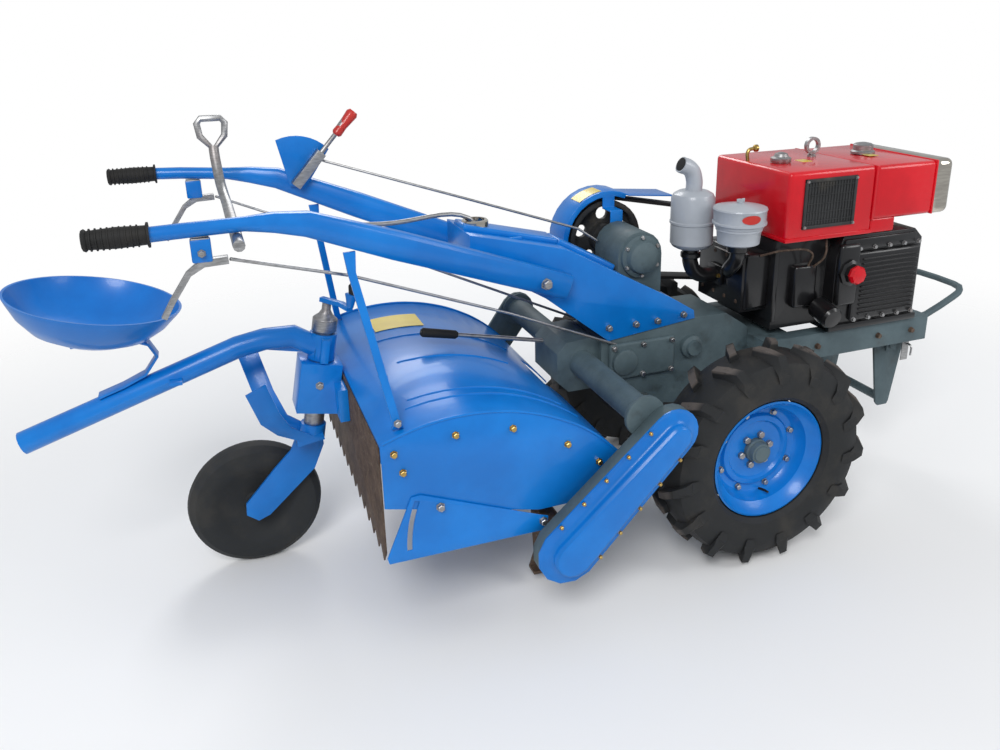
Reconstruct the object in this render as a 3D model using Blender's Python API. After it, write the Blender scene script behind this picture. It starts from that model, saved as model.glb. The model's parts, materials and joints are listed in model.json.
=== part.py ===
"""Walking tractor: a two-wheeled power tiller with a diesel engine, a rotary
tiller, a tail wheel and a seat, as separate solids at their real size.

Metres.  +X is forward, +Y is the machine's left, +Z is up.  The dimensions
below are measured from the ground straight below the drive wheels' axle; the
last step moves everything so that the origin is under the box's middle.
"""
import math

import bmesh
import bpy
from mathutils import Matrix, Vector

# ---- clearances and walls -------------------------------------------------
GAP = 0.0003            # between faces that touch on the real machine
RUN = 0.006             # between a moving piece and a fixed one
BEARING = 0.0006        # between a turning shaft and its bore
SHEET = 0.004           # pressed steel sheet
PLATE = 0.006           # flat steel plate

# ---- drive wheels ---------------------------------------------------------
TYRE_RADIUS = 0.320
TYRE_WIDTH = 0.165
TRACK_HALF = 0.375      # wheel centre from the middle plane
RIM_RADIUS = 0.172
RIM_WIDTH = 0.112
RIM_WALL = 0.005
HUB_RADIUS = 0.062
AXLE_RADIUS = 0.024
AXLE_DEPTH = 0.020      # how far the axle housing's bore goes in

# ---- gearbox and clutch ---------------------------------------------------
CASE_HALF = 0.100       # half width of the gearbox
CASE_REAR = -0.350
CASE_FRONT = 0.140
CASE_TOP_REAR = 0.600
CASE_TOP_FRONT = 0.630
HOUSING_RADIUS = 0.050
HOUSING_END = 0.240     # outer face of the axle housing
CLUTCH_X = -0.205
CLUTCH_Z = 0.822
CLUTCH_HALF_LENGTH = 0.075
PULLEY_RADIUS = 0.118
PULLEY_Y = 0.215
PULLEY_WIDTH = 0.075
BELT_SEAT = 0.0010      # keeps the belt's flat facets off the round pulleys
GUARD_RADIUS = 0.150
GUARD_WIDTH = 0.110

# ---- engine frame ---------------------------------------------------------
RAIL_TOP = 0.555
RAIL_HEIGHT = 0.080
RAIL_HALF = 0.190       # outer face of a rail
RAIL_FLANGE = 0.050
RAIL_REAR = CASE_FRONT + GAP
RAIL_FRONT = 0.755
BUMPER_TUBE = 0.011
BUMPER_REACH = 0.215
STAND_PIVOT_X = 0.665
STAND_PIVOT_Z = RAIL_TOP - RAIL_HEIGHT - 0.022
STAND_PIN = 0.011
STAND_LENGTH = 0.235

# ---- engine ---------------------------------------------------------------
CRANKCASE_X = (0.365, 0.680)
CRANKCASE_Y = (-0.195, 0.150)
CRANKCASE_TOP = 0.850
CYLINDER_X = 0.090      # rear face of the cylinder head
HOOD_X = (0.165, 0.470)
TANK_X = (0.4703, 0.695)
HOOD_Y = (-0.205, 0.165)
HOOD_TOP = 1.055
HOOD_BOTTOM = 0.855
TANK_BOTTOM = 0.892
CAP_FRONT = 0.765
FLYWHEEL_RADIUS = 0.135
FLYWHEEL_X = 0.500
FLYWHEEL_Z = 0.702
MUFFLER_X = -0.010
MUFFLER_Y = 0.000
MUFFLER_RADIUS = 0.064
MUFFLER_Z = (0.815, 0.985)
CLEANER_X = 0.050
CLEANER_Y = -0.150
CLEANER_RADIUS = 0.074
CLEANER_Z = (0.858, 0.972)
CLEANER_NECK = 0.045

# ---- handle ---------------------------------------------------------------
BASE_HALF = 0.104
BASE_FRONT = -0.050
BASE_REAR = -0.730
BEAM_HALF_HEIGHT = 0.036
BEAM_HALF_WIDTH = 0.020
BEAM_FRONT_X = -0.470
BEAM_SLOPE = 0.405
BEAM_FRONT_Z = 0.788
CREST_X = -1.225
CREST_HALF = 0.310
GRIP_HALF = 0.370
GRIP_X = -1.462
GRIP_END = -1.585
GRIP_Z = 1.090
TUBE_RADIUS = 0.016
GRIP_RADIUS = 0.0205
LEVER_DROP = 0.0035     # the tube falls away this much over a bracket's length

# ---- rotary tiller --------------------------------------------------------
TILLER_RIGHT = -0.440   # outer face of the right side plate
TILLER_LEFT = 0.420     # outer face of the left side plate
CROSS_X = -0.405
CROSS_Z = 0.540
CROSS_RADIUS = 0.038
ROTOR_X = -0.620
ROTOR_Z = 0.245
BLADE_RADIUS = 0.210
ROTOR_SHAFT = 0.024
ARM_Y = TILLER_LEFT + SHEET + RUN
CHAIN_CASE_Y = (-0.500, -0.465)
CHAIN_COVER_Y = -0.532
CHAIN_TOP = (-0.345, 0.500)
CHAIN_END_RADIUS = 0.066
ARC_X = -0.860          # centre of the hood's arc
ARC_Z = 0.0856
ARC_RADIUS = 0.534
HOOD_REAR_X = -1.060
HOOD_FRONT_X = -0.440
SKIRT_PIVOT = (-0.672, 0.300)

# ---- tail wheel, column and seat ------------------------------------------
TAIL_Y = 0.050          # middle of the column, the seat beam and the seat
TAIL_WHEEL_Y = 0.130    # the wheel stands beside its one-sided arm
COLUMN_X = -1.118
COLUMN_Z = 0.590
COLUMN_LEAN = math.radians(11.0)
COLUMN_RADIUS = 0.027
TAIL_RADIUS = 0.183
TAIL_WIDTH = 0.080
TAIL_X = -1.322
FORK_PLATE = 0.006
SEAT_BEAM_RADIUS = 0.029
SEAT_SEAT_Z = 0.743     # middle of the leaf spring's flat top
BRACE_LIFT = 0.0030     # from the beam's underside to the stay's square end

COLOURS = {
    "blue": ((0.02, 0.22, 0.72), 0.35, 0.0),
    "red": ((0.60, 0.01, 0.015), 0.30, 0.0),
    "black": ((0.012, 0.012, 0.013), 0.45, 0.0),
    "grey": ((0.16, 0.21, 0.22), 0.55, 0.0),
    "silver": ((0.50, 0.51, 0.52), 0.40, 0.8),
    "chrome": ((0.75, 0.75, 0.76), 0.12, 1.0),
    "rubber": ((0.02, 0.02, 0.02), 0.80, 0.0),
    "steel": ((0.14, 0.12, 0.11), 0.60, 0.6),
}


# ---- helpers --------------------------------------------------------------
def clear_scene():
    """Remove every object that the file opened with."""
    for thing in list(bpy.data.objects):
        bpy.data.objects.remove(thing, do_unlink=True)


def material(name):
    """Return the Principled material of one of the finishes above."""
    found = bpy.data.materials.get(name)
    if found:
        return found
    colour, roughness, metallic = COLOURS[name]
    made = bpy.data.materials.new(name)
    made.use_nodes = True
    shader = made.node_tree.nodes["Principled BSDF"]
    shader.inputs["Base Color"].default_value = (*colour, 1.0)
    shader.inputs["Roughness"].default_value = roughness
    shader.inputs["Metallic"].default_value = metallic
    return made


def place(name, bm, finish, at=(0.0, 0.0, 0.0), parent=None, smooth=False):
    """Turn a bmesh in world coordinates into an object whose origin is at."""
    bmesh.ops.recalc_face_normals(bm, faces=bm.faces)
    bmesh.ops.translate(bm, verts=bm.verts, vec=-Vector(at))
    mesh = bpy.data.meshes.new(name)
    bm.to_mesh(mesh)
    bm.free()
    mesh.materials.append(material(finish))
    if smooth:
        mesh.shade_smooth()
        mesh.set_sharp_from_angle(angle=math.radians(35.0))
    thing = bpy.data.objects.new(name, mesh)
    bpy.context.collection.objects.link(thing)
    thing.location = at
    if parent:
        thing.parent = parent
        thing.location = Vector(at) - parent.location
    return thing


def joint_empty(name, at):
    """An empty on a joint's axis, which carries the pieces that move."""
    empty = bpy.data.objects.new(name, None)
    empty.location = at
    bpy.context.collection.objects.link(empty)
    return empty


def prism(outline, y0, y1, bm=None):
    """A solid with an outline of (x, z) points, from y0 to y1."""
    bm = bm or bmesh.new()
    near = [bm.verts.new((x, y0, z)) for x, z in outline]
    far = [bm.verts.new((x, y1, z)) for x, z in outline]
    bm.faces.new(near)
    bm.faces.new(far[::-1])
    for i in range(len(outline)):
        j = (i + 1) % len(outline)
        bm.faces.new((near[i], far[i], far[j], near[j]))
    return bm


def box(x, y, z, bm=None):
    """A solid box from three (low, high) pairs."""
    outline = [(x[0], z[0]), (x[1], z[0]), (x[1], z[1]), (x[0], z[1])]
    return prism(outline, y[0], y[1], bm)


def arc(cx, cz, radius, start, end, steps):
    """Points of an arc in the XZ plane, angles in degrees from +X to +Z."""
    points = []
    for i in range(steps + 1):
        angle = math.radians(start + (end - start) * i / steps)
        points.append((cx + radius * math.cos(angle), cz + radius * math.sin(angle)))
    return points


def frame_along(direction, up=Vector((0.0, 1.0, 0.0))):
    """Two unit vectors that are square to a direction."""
    side = direction.cross(up)
    if side.length < 1e-4:
        side = direction.cross(Vector((1.0, 0.0, 0.0)))
    side.normalize()
    return side, side.cross(direction).normalized()


def lathe(profile, origin, axis, sides, bm=None):
    """Turn a profile of (height, radius) about an axis; its ends lie on it."""
    bm = bm or bmesh.new()
    origin = Vector(origin)
    axis = Vector(axis).normalized()
    side, other = frame_along(axis)
    rings = []
    for height, radius in profile:
        centre = origin + axis * height
        if radius == 0.0:
            rings.append([bm.verts.new(centre)])
            continue
        ring = []
        for i in range(sides):
            angle = 2.0 * math.pi * i / sides
            ring.append(bm.verts.new(
                centre + side * radius * math.cos(angle) + other * radius * math.sin(angle)))
        rings.append(ring)
    for low, high in zip(rings, rings[1:]):
        join_rings(bm, low, high, sides)
    return bm


def join_rings(bm, low, high, sides):
    """Bridge two rings of a turned shape, either of which may be a point."""
    for i in range(sides):
        j = (i + 1) % sides
        if len(low) == 1:
            bm.faces.new((low[0], high[j], high[i]))
        elif len(high) == 1:
            bm.faces.new((low[i], low[j], high[0]))
        else:
            bm.faces.new((low[i], low[j], high[j], high[i]))


def turned_ring(profile, origin, axis, sides, bm=None):
    """Turn a closed profile of (height, radius) that stays off the axis."""
    bm = bm or bmesh.new()
    origin = Vector(origin)
    axis = Vector(axis).normalized()
    side, other = frame_along(axis)
    rings = []
    for i in range(sides):
        angle = 2.0 * math.pi * i / sides
        out = side * math.cos(angle) + other * math.sin(angle)
        rings.append([bm.verts.new(origin + axis * h + out * r) for h, r in profile])
    for i in range(sides):
        this, following = rings[i], rings[(i + 1) % sides]
        for k in range(len(profile)):
            m = (k + 1) % len(profile)
            bm.faces.new((this[k], this[m], following[m], following[k]))
    return bm


def cylinder(origin, axis, length, radius, sides, bm=None):
    """A plain round bar from an origin along an axis."""
    return lathe([(0.0, 0.0), (0.0, radius), (length, radius), (length, 0.0)],
                 origin, axis, sides, bm)


def sweep(points, section, bm=None, up=Vector((0.0, 1.0, 0.0))):
    """Carry a section of (across, upward) points along a path of points.

    section is one list, or a list of one section for each path point.
    """
    bm = bm or bmesh.new()
    points = [Vector(p) for p in points]
    rings = []
    for i, point in enumerate(points):
        before = points[max(i - 1, 0)]
        after = points[min(i + 1, len(points) - 1)]
        first = (point - before) if i else (after - point)
        second = (after - point) if i < len(points) - 1 else first
        direction = (first.normalized() + second.normalized()).normalized()
        lean = max(direction.dot(first.normalized()), 0.5)
        upward, across = frame_along(direction, up)
        shape = section[i] if isinstance(section[0], list) else section
        bend = second.normalized() - first.normalized()
        ring = []
        for a, u in shape:
            offset = across * a + upward * u
            if bend.length > 1e-4:
                along = bend.normalized()
                offset += along * offset.dot(along) * (1.0 / lean - 1.0)
            ring.append(bm.verts.new(point + offset))
        rings.append(ring)
    count = len(rings[0])
    for low, high in zip(rings, rings[1:]):
        for i in range(count):
            j = (i + 1) % count
            bm.faces.new((low[i], low[j], high[j], high[i]))
    bm.faces.new(rings[0][::-1])
    bm.faces.new(rings[-1])
    return bm


def round_section(radius, sides=10):
    """A circle as a section."""
    return [(radius * math.cos(2.0 * math.pi * i / sides),
             radius * math.sin(2.0 * math.pi * i / sides)) for i in range(sides)]


def box_section(half_width, half_height):
    """A rectangle as a section."""
    return [(-half_width, -half_height), (half_width, -half_height),
            (half_width, half_height), (-half_width, half_height)]


def smooth_path(points, steps=4):
    """A smooth curve through the points, square at neither end."""
    points = [Vector(p) for p in points]
    padded = [points[0] * 2.0 - points[1], *points, points[-1] * 2.0 - points[-2]]
    path = []
    for a, b, c, d in zip(padded, padded[1:], padded[2:], padded[3:]):
        for i in range(steps):
            t = i / steps
            path.append(0.5 * (2.0 * b + (c - a) * t
                               + (2.0 * a - 5.0 * b + 4.0 * c - d) * t * t
                               + (3.0 * b - a - 3.0 * c + d) * t * t * t))
    path.append(points[-1])
    return path


def helper(bm, name):
    """A hidden object that a Boolean modifier reads."""
    thing = place(name, bm, "grey")
    thing.hide_render = True
    thing.hide_viewport = False
    thing.display_type = "WIRE"
    return thing


def boolean(thing, bm, operation):
    """Cut or join a solid with another, which stays as a hidden helper."""
    number = len(thing.modifiers) + 1
    modifier = thing.modifiers.new(f"{operation.lower()}_{number}", "BOOLEAN")
    modifier.object = helper(bm, f"{thing.name}_tool_{number}")
    modifier.operation = operation
    modifier.solver = "EXACT"


def cut(thing, bm):
    """Take a shape away from a solid."""
    boolean(thing, bm, "DIFFERENCE")


def join(thing, bm):
    """Weld a shape onto a solid."""
    boolean(thing, bm, "UNION")


def mirrored(points, side):
    """The same points on the left (side 1) or the right (side -1)."""
    return [(x, y * side, z) for x, y, z in points]


def side_name(side):
    return "left" if side > 0 else "right"


# ---- drive wheels ---------------------------------------------------------
def drive_wheel(side):
    """Tyre, rim with its disc, and hub with its axle, about one axis."""
    name = side_name(side)
    centre = Vector((0.0, side * TRACK_HALF, TYRE_RADIUS))
    axis = (0.0, side, 0.0)
    empty = joint_empty(f"drive_wheel_{name}_axis", centre)
    half = TYRE_WIDTH / 2.0
    bead = RIM_RADIUS + GAP
    tyre = [(-half * 0.70, bead), (-half, bead + 0.052), (-half, TYRE_RADIUS - 0.050),
            (-half * 0.86, TYRE_RADIUS - 0.012), (-half * 0.5, TYRE_RADIUS),
            (half * 0.5, TYRE_RADIUS), (half * 0.86, TYRE_RADIUS - 0.012),
            (half, TYRE_RADIUS - 0.050), (half, bead + 0.052), (half * 0.70, bead)]
    place(f"tyre_{name}", turned_ring(tyre, centre, axis, 48), "rubber", centre, empty, True)

    rim_half = RIM_WIDTH / 2.0
    lip = RIM_RADIUS
    well = RIM_RADIUS - 0.030
    disc = 0.010
    rim = [(-rim_half, lip), (-rim_half, lip - RIM_WALL), (-rim_half * 0.6, well),
           (-disc - RIM_WALL, well - RIM_WALL), (-disc - 0.012, HUB_RADIUS + 0.030),
           (-disc, 0.030), (-disc + RIM_WALL, 0.030), (-disc - 0.012 + RIM_WALL, HUB_RADIUS + 0.030),
           (-disc + RIM_WALL, well - RIM_WALL), (rim_half * 0.6, well),
           (rim_half, lip - RIM_WALL), (rim_half, lip),
           (rim_half * 0.6, well + RIM_WALL * 1.4), (-rim_half * 0.6, well + RIM_WALL * 1.4)]
    place(f"rim_{name}", turned_ring(rim, centre, axis, 48), "blue", centre, empty, True)

    inner = HOUSING_END + RUN - TRACK_HALF
    stub = inner - RUN - AXLE_DEPTH * 0.7
    hub = [(stub, 0.0), (stub, AXLE_RADIUS), (inner, AXLE_RADIUS), (inner, 0.040), (-disc - 0.030, 0.040), (-disc - 0.026, HUB_RADIUS),
           (-disc - 0.0155, HUB_RADIUS), (-disc - 0.0150, 0.0290), (0.022, 0.0290), (0.022, 0.0)]
    place(f"hub_{name}", lathe(hub, centre, axis, 24), "grey", centre, empty, True)


# ---- gearbox, clutch and belt drive ---------------------------------------
def gearbox():
    """The cast case, with the axle housings on its lower end."""
    outline = [(CASE_REAR, CASE_TOP_REAR - GAP * 2.0), (CASE_REAR, 0.450), (-0.200, 0.415),
               (-0.130, 0.300), (-0.085, 0.225), (0.0, 0.205), (0.085, 0.225),
               (0.125, 0.300), (CASE_FRONT, 0.440), (CASE_FRONT, 0.575),
               (0.060, CASE_TOP_FRONT - GAP), (BASE_FRONT, CASE_TOP_FRONT - GAP),
               (-0.330, CASE_TOP_REAR - GAP)]
    case = place("gearbox_case", prism(outline, -CASE_HALF, CASE_HALF), "grey")
    start = Vector((0.0, -HOUSING_END, TYRE_RADIUS))
    length = HOUSING_END * 2.0
    flange = 0.075
    housing = [(0.0, 0.0), (0.0, flange), (0.014, flange), (0.016, HOUSING_RADIUS),
               (length - 0.016, HOUSING_RADIUS), (length - 0.014, flange),
               (length, flange), (length, 0.0)]
    join(case, lathe(housing, start, (0.0, 1.0, 0.0), 24))
    for side in (1.0, -1.0):
        mouth = (0.0, side * (HOUSING_END + AXLE_DEPTH), TYRE_RADIUS)
        cut(case, cylinder(mouth, (0.0, -side, 0.0), AXLE_DEPTH * 2.0, AXLE_RADIUS + BEARING, 24))


def clutch():
    """The clutch housing on top of the gearbox, with its round end cap."""
    bottom = CASE_TOP_REAR + (CLUTCH_X + 0.330) * (CASE_TOP_FRONT - CASE_TOP_REAR) / 0.280
    half = 0.070
    top = arc(CLUTCH_X, CLUTCH_Z, half, 0.0, 180.0, 10)
    outline = [(CLUTCH_X - half, bottom + 0.002), *reversed(top), (CLUTCH_X + half, bottom + 0.010)]
    housing = place("clutch_housing", prism(outline, -0.045, CLUTCH_HALF_LENGTH + 0.030), "grey")
    cap = [(0.0, 0.0), (0.0, 0.062), (0.012, 0.062), (0.014, 0.050), (0.030, 0.045),
           (0.042, 0.025), (0.044, 0.0)]
    join(housing, lathe(cap, (CLUTCH_X, -0.044, CLUTCH_Z), (0.0, -1.0, 0.0), 24))
    shaft_length = PULLEY_Y + PULLEY_WIDTH / 2.0 - CLUTCH_HALF_LENGTH - 0.020
    join(housing, cylinder((CLUTCH_X, CLUTCH_HALF_LENGTH + 0.020, CLUTCH_Z), (0.0, 1.0, 0.0),
                           shaft_length, 0.020, 16))


def clutch_pulley():
    """The belt pulley on the clutch shaft, open between its spokes."""
    half = PULLEY_WIDTH / 2.0
    bore = 0.020 + GAP
    wall = PULLEY_RADIUS - 0.016
    section = [(-half, bore), (-half, 0.042), (-0.008, 0.046), (-0.008, wall), (-half, wall),
               (-half, PULLEY_RADIUS), (half, PULLEY_RADIUS), (half, wall), (0.008, wall),
               (0.008, 0.046), (half, 0.042), (half, bore)]
    centre = (CLUTCH_X, PULLEY_Y, CLUTCH_Z)
    pulley = place("clutch_pulley", turned_ring(section, centre, (0.0, 1.0, 0.0), 32),
                   "black", centre)
    for i in range(5):
        angle = math.radians(72.0 * i + 18.0)
        hole = (CLUTCH_X + 0.073 * math.cos(angle), PULLEY_Y - half, CLUTCH_Z + 0.073 * math.sin(angle))
        cut(pulley, cylinder(hole, (0.0, 1.0, 0.0), PULLEY_WIDTH, 0.020, 12))


def belt_outline(extra):
    """Outline of the belts round both pulleys, larger by extra."""
    first = PULLEY_RADIUS + extra
    second = 0.098 + extra
    run = math.hypot(FLYWHEEL_X - CLUTCH_X, FLYWHEEL_Z - CLUTCH_Z)
    line = math.degrees(math.atan2(FLYWHEEL_Z - CLUTCH_Z, FLYWHEEL_X - CLUTCH_X))
    spread = math.degrees(math.acos((first - second) / run))
    return (arc(CLUTCH_X, CLUTCH_Z, first, line + spread, line + 360.0 - spread, 16)
            + arc(FLYWHEEL_X, FLYWHEEL_Z, second, line - spread, line + spread, 14))


def belts():
    """The set of V-belts, from the engine's pulley to the clutch pulley."""
    y0 = PULLEY_Y - 0.030
    y1 = PULLEY_Y + 0.030
    band = place("drive_belt", prism(belt_outline(0.011), y0, y1), "rubber")
    cut(band, prism(belt_outline(BELT_SEAT), y0 - 0.01, y1 + 0.01))


def belt_guard():
    """The sheet guard that bends over the clutch pulley."""
    outer = arc(CLUTCH_X, CLUTCH_Z, GUARD_RADIUS, 205.0, 62.0, 12)
    inner = arc(CLUTCH_X, CLUTCH_Z, GUARD_RADIUS - SHEET, 62.0, 205.0, 12)
    outer.append((CLUTCH_X + 0.225, CLUTCH_Z + 0.118))
    inner.insert(0, (CLUTCH_X + 0.225, CLUTCH_Z + 0.118 - SHEET))
    y0 = PULLEY_Y - GUARD_WIDTH / 2.0
    y1 = PULLEY_Y + GUARD_WIDTH / 2.0
    guard = place("belt_guard", prism(outer + inner, y0, y1), "blue")
    lip = arc(CLUTCH_X, CLUTCH_Z, GUARD_RADIUS - 0.001, 200.0, 66.0, 10)
    low = arc(CLUTCH_X, CLUTCH_Z, GUARD_RADIUS - 0.016, 66.0, 200.0, 10)
    join(guard, prism(lip + low, y0, y0 + SHEET))
    inner = CLUTCH_HALF_LENGTH + 0.030 + GAP
    strap = (CLUTCH_X - 0.020, CLUTCH_X + 0.020)
    join(guard, box(strap, (inner, inner + SHEET), (CLUTCH_Z + 0.030, CLUTCH_Z + 0.100)))
    join(guard, box(strap, (inner, y0 + SHEET), (CLUTCH_Z + 0.097, CLUTCH_Z + 0.101)))
    join(guard, box(strap, (y0, y0 + SHEET), (CLUTCH_Z + 0.097, CLUTCH_Z + GUARD_RADIUS - 0.006)))


# ---- engine frame, bumper and stand ---------------------------------------
def engine_frame():
    """Two rails joined by cross plates, bolted to the gearbox's front."""
    rail = [(RAIL_REAR, RAIL_TOP - RAIL_HEIGHT), (RAIL_FRONT, RAIL_TOP - RAIL_HEIGHT),
            (RAIL_FRONT, RAIL_TOP), (RAIL_REAR, RAIL_TOP)]
    frame = place("engine_frame", prism(rail, -RAIL_HALF, -RAIL_HALF + SHEET * 1.5), "grey")
    inner = RAIL_HALF - RAIL_FLANGE
    join(frame, prism(rail, RAIL_HALF - SHEET * 1.5, RAIL_HALF))
    for side in (-1, 1):
        y = sorted((side * inner, side * (RAIL_HALF - 0.001)))
        join(frame, box((RAIL_REAR, RAIL_FRONT), y, (RAIL_TOP - PLATE, RAIL_TOP)))
        join(frame, box((RAIL_REAR, RAIL_FRONT), y,
                        (RAIL_TOP - RAIL_HEIGHT, RAIL_TOP - RAIL_HEIGHT + PLATE)))
    span = (-RAIL_HALF + 0.002, RAIL_HALF - 0.002)
    join(frame, box((RAIL_FRONT - 0.010, RAIL_FRONT), span,
                    (RAIL_TOP - RAIL_HEIGHT + 0.001, RAIL_TOP - 0.001)))
    join(frame, box((RAIL_REAR, RAIL_REAR + 0.016), span,
                    (RAIL_TOP - RAIL_HEIGHT + 0.001, RAIL_TOP - 0.001)))
    join(frame, box((RAIL_REAR + 0.002, 0.255), span, (RAIL_TOP - PLATE - 0.001, RAIL_TOP - 0.0005)))
    for side in (-1, 1):
        y = sorted((side * (inner + 0.001), side * (inner + 0.001 + PLATE)))
        join(frame, box((STAND_PIVOT_X - 0.020, STAND_PIVOT_X + 0.020), y,
                        (STAND_PIVOT_Z - 0.020, RAIL_TOP - RAIL_HEIGHT + PLATE * 0.5)))
    cut(frame, cylinder((STAND_PIVOT_X, -inner - 0.050, STAND_PIVOT_Z), (0.0, 1.0, 0.0),
                        inner * 2.0 + 0.100, STAND_PIN + BEARING, 16))


def bumper():
    """The bent tube loop on the frame's front plate."""
    half = 0.135
    low = RAIL_TOP - 0.028
    front = RAIL_FRONT + BUMPER_REACH
    start = RAIL_FRONT + GAP
    path = [(start, -half, low), (start + 0.050, -half, low + 0.006), (front - 0.060, -half, low + 0.052),
            (front - 0.018, -half + 0.016, low + 0.066), (front, -half + 0.060, low + 0.072),
            (front, half - 0.060, low + 0.072), (front - 0.018, half - 0.016, low + 0.066),
            (front - 0.060, half, low + 0.052), (start + 0.050, half, low + 0.006), (start, half, low)]
    up = Vector((0.0, 0.0, 1.0))
    place("front_bumper", sweep(smooth_path(path, 2), round_section(BUMPER_TUBE, 8), up=up),
          "grey", smooth=True)


def stand():
    """The tapered folding stand between the rails' front."""
    top = STAND_PIVOT_Z + 0.016
    low = top - STAND_LENGTH
    pivot = (STAND_PIVOT_X, 0.0, STAND_PIVOT_Z)
    leg = [(STAND_PIVOT_X - 0.062, top), (STAND_PIVOT_X - 0.024, low + 0.012),
           (STAND_PIVOT_X - 0.014, low), (STAND_PIVOT_X + 0.022, low),
           (STAND_PIVOT_X + 0.028, low + 0.012), (STAND_PIVOT_X + 0.062, top)]
    outer = RAIL_HALF - RAIL_FLANGE - RUN
    inner = outer - 0.008
    thing = place("front_stand", prism(leg, -outer, -inner), "grey", pivot)
    join(thing, prism(leg, inner, outer))
    half = outer + RUN + PLATE + 0.006
    join(thing, cylinder((STAND_PIVOT_X, -half, STAND_PIVOT_Z), (0.0, 1.0, 0.0), half * 2.0,
                         STAND_PIN, 12))
    join(thing, cylinder((STAND_PIVOT_X + 0.004, -inner - 0.002, low + 0.020), (0.0, 1.0, 0.0),
                         inner * 2.0 + 0.004, 0.014, 12))


# ---- engine ---------------------------------------------------------------
def engine():
    """Crankcase, cylinder and head as one casting on the rails."""
    low = RAIL_TOP + GAP
    x0, x1 = CRANKCASE_X
    y0, y1 = CRANKCASE_Y
    crankcase = [(x0, low), (x1, low), (x1, CRANKCASE_TOP - 0.030), (x1 - 0.030, CRANKCASE_TOP),
                 (x0 + 0.020, CRANKCASE_TOP), (x0, CRANKCASE_TOP - 0.060)]
    block = place("engine_block", prism(crankcase, y0, y1), "black")
    join(block, box((0.180, x0 + 0.010), (-0.150, 0.125), (low + 0.020, 0.845)))
    join(block, box((CYLINDER_X, 0.182), (-0.125, 0.105), (CASE_TOP_FRONT + 0.004, 0.800)))


def flywheel():
    """Flywheel with the belt pulley on its outer side."""
    face = CRANKCASE_Y[1] + GAP
    inner = PULLEY_Y - 0.0375
    outer = PULLEY_Y + 0.0375
    profile = [(0.0, 0.0), (0.0, FLYWHEEL_RADIUS), (inner - face - 0.004, FLYWHEEL_RADIUS),
               (inner - face, 0.098), (outer - face, 0.098), (outer - face + 0.002, 0.060),
               (outer - face + 0.002, 0.0)]
    place("engine_flywheel", lathe(profile, (FLYWHEEL_X, face, FLYWHEEL_Z), (0.0, 1.0, 0.0), 32),
          "black", smooth=True)


def rounded_roof(x0, x1, bottom, top, corner=0.016):
    """An outline seen from the side, rounded at its upper corners."""
    return [(x0, bottom), (x1, bottom), *arc(x1 - corner, top - corner, corner, 0.0, 90.0, 4),
            *arc(x0 + corner, top - corner, corner, 90.0, 180.0, 4)]


def engine_hood():
    """The radiator hood, the fuel tank in front of it and the tank's end cap."""
    y0, y1 = HOOD_Y
    skirt = [(HOOD_X[0] + 0.010, HOOD_BOTTOM + GAP), (HOOD_X[1], HOOD_BOTTOM + GAP)]
    roof = arc(HOOD_X[0] + 0.016, HOOD_TOP - 0.016, 0.016, 90.0, 180.0, 4)
    hood = place("radiator_hood", prism([*skirt, (HOOD_X[1], HOOD_TOP), *roof], y0, y1), "red")
    cut(hood, box((HOOD_X[0] + 0.010 + SHEET, HOOD_X[1] - SHEET), (y0 + SHEET, y1 - SHEET),
                  (HOOD_BOTTOM - 0.010, HOOD_TOP - SHEET)))
    tank = [(TANK_X[0], TANK_BOTTOM), (TANK_X[1], TANK_BOTTOM), (TANK_X[1], HOOD_TOP - 0.004),
            (TANK_X[0], HOOD_TOP - 0.001)]
    tank_solid = place("fuel_tank", prism(tank, y0, y1), "red")
    join(tank_solid, box((TANK_X[0], TANK_X[0] + 0.090), (y0 + 0.001, y1 - 0.001),
                         (CRANKCASE_TOP + GAP, TANK_BOTTOM + 0.002)))
    cut(tank_solid, box((TANK_X[0] + SHEET, TANK_X[1] - SHEET), (y0 + SHEET, y1 - SHEET),
                        (CRANKCASE_TOP - 0.010, HOOD_TOP - 0.004 - SHEET)))
    join(tank_solid, cylinder((0.585, -0.010, HOOD_TOP - 0.006), (0.0, 0.0, 1.0), 0.036, 0.029, 20))
    start = TANK_X[1] + GAP
    cap = [(start, TANK_BOTTOM - 0.004), (CAP_FRONT - 0.010, TANK_BOTTOM - 0.004),
           (CAP_FRONT, TANK_BOTTOM + 0.012), (CAP_FRONT - 0.018, HOOD_TOP - 0.012),
           (CAP_FRONT - 0.034, HOOD_TOP - 0.001), (start, HOOD_TOP - 0.001)]
    place("tank_end_cap", prism(cap, y0 + 0.004, y1 - 0.004), "chrome")


def muffler():
    """The upright muffler with its outlet and the elbow from the head."""
    x, y = MUFFLER_X, MUFFLER_Y
    z0, z1 = MUFFLER_Z
    r = MUFFLER_RADIUS
    body = [(z0, 0.0), (z0, r * 0.75), (z0 + 0.012, r - 0.002), (z0 + 0.080, r), (z1 - 0.012, r),
            (z1, r * 0.70), (z1, 0.0)]
    thing = place("muffler", lathe(body, (x, y, 0.0), (0.0, 0.0, 1.0), 28), "silver", smooth=True)
    outlet = [(x, y, z1 - 0.010), (x, y, z1 + 0.030), (x - 0.010, y, z1 + 0.062),
              (x - 0.045, y, z1 + 0.082)]
    join(thing, sweep(smooth_path(outlet, 3), round_section(0.024, 12)))
    elbow = [(x, y, z0 + 0.008), (x, y, z0 - 0.045), (x + 0.026, y, z0 - 0.084),
             (CYLINDER_X - 0.016, y, z0 - 0.092)]
    join(thing, sweep(smooth_path(elbow, 3), round_section(0.021, 12)))
    join(thing, cylinder((CYLINDER_X - GAP, y, z0 - 0.092), (-1.0, 0.0, 0.0), 0.018, 0.029, 12))


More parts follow.
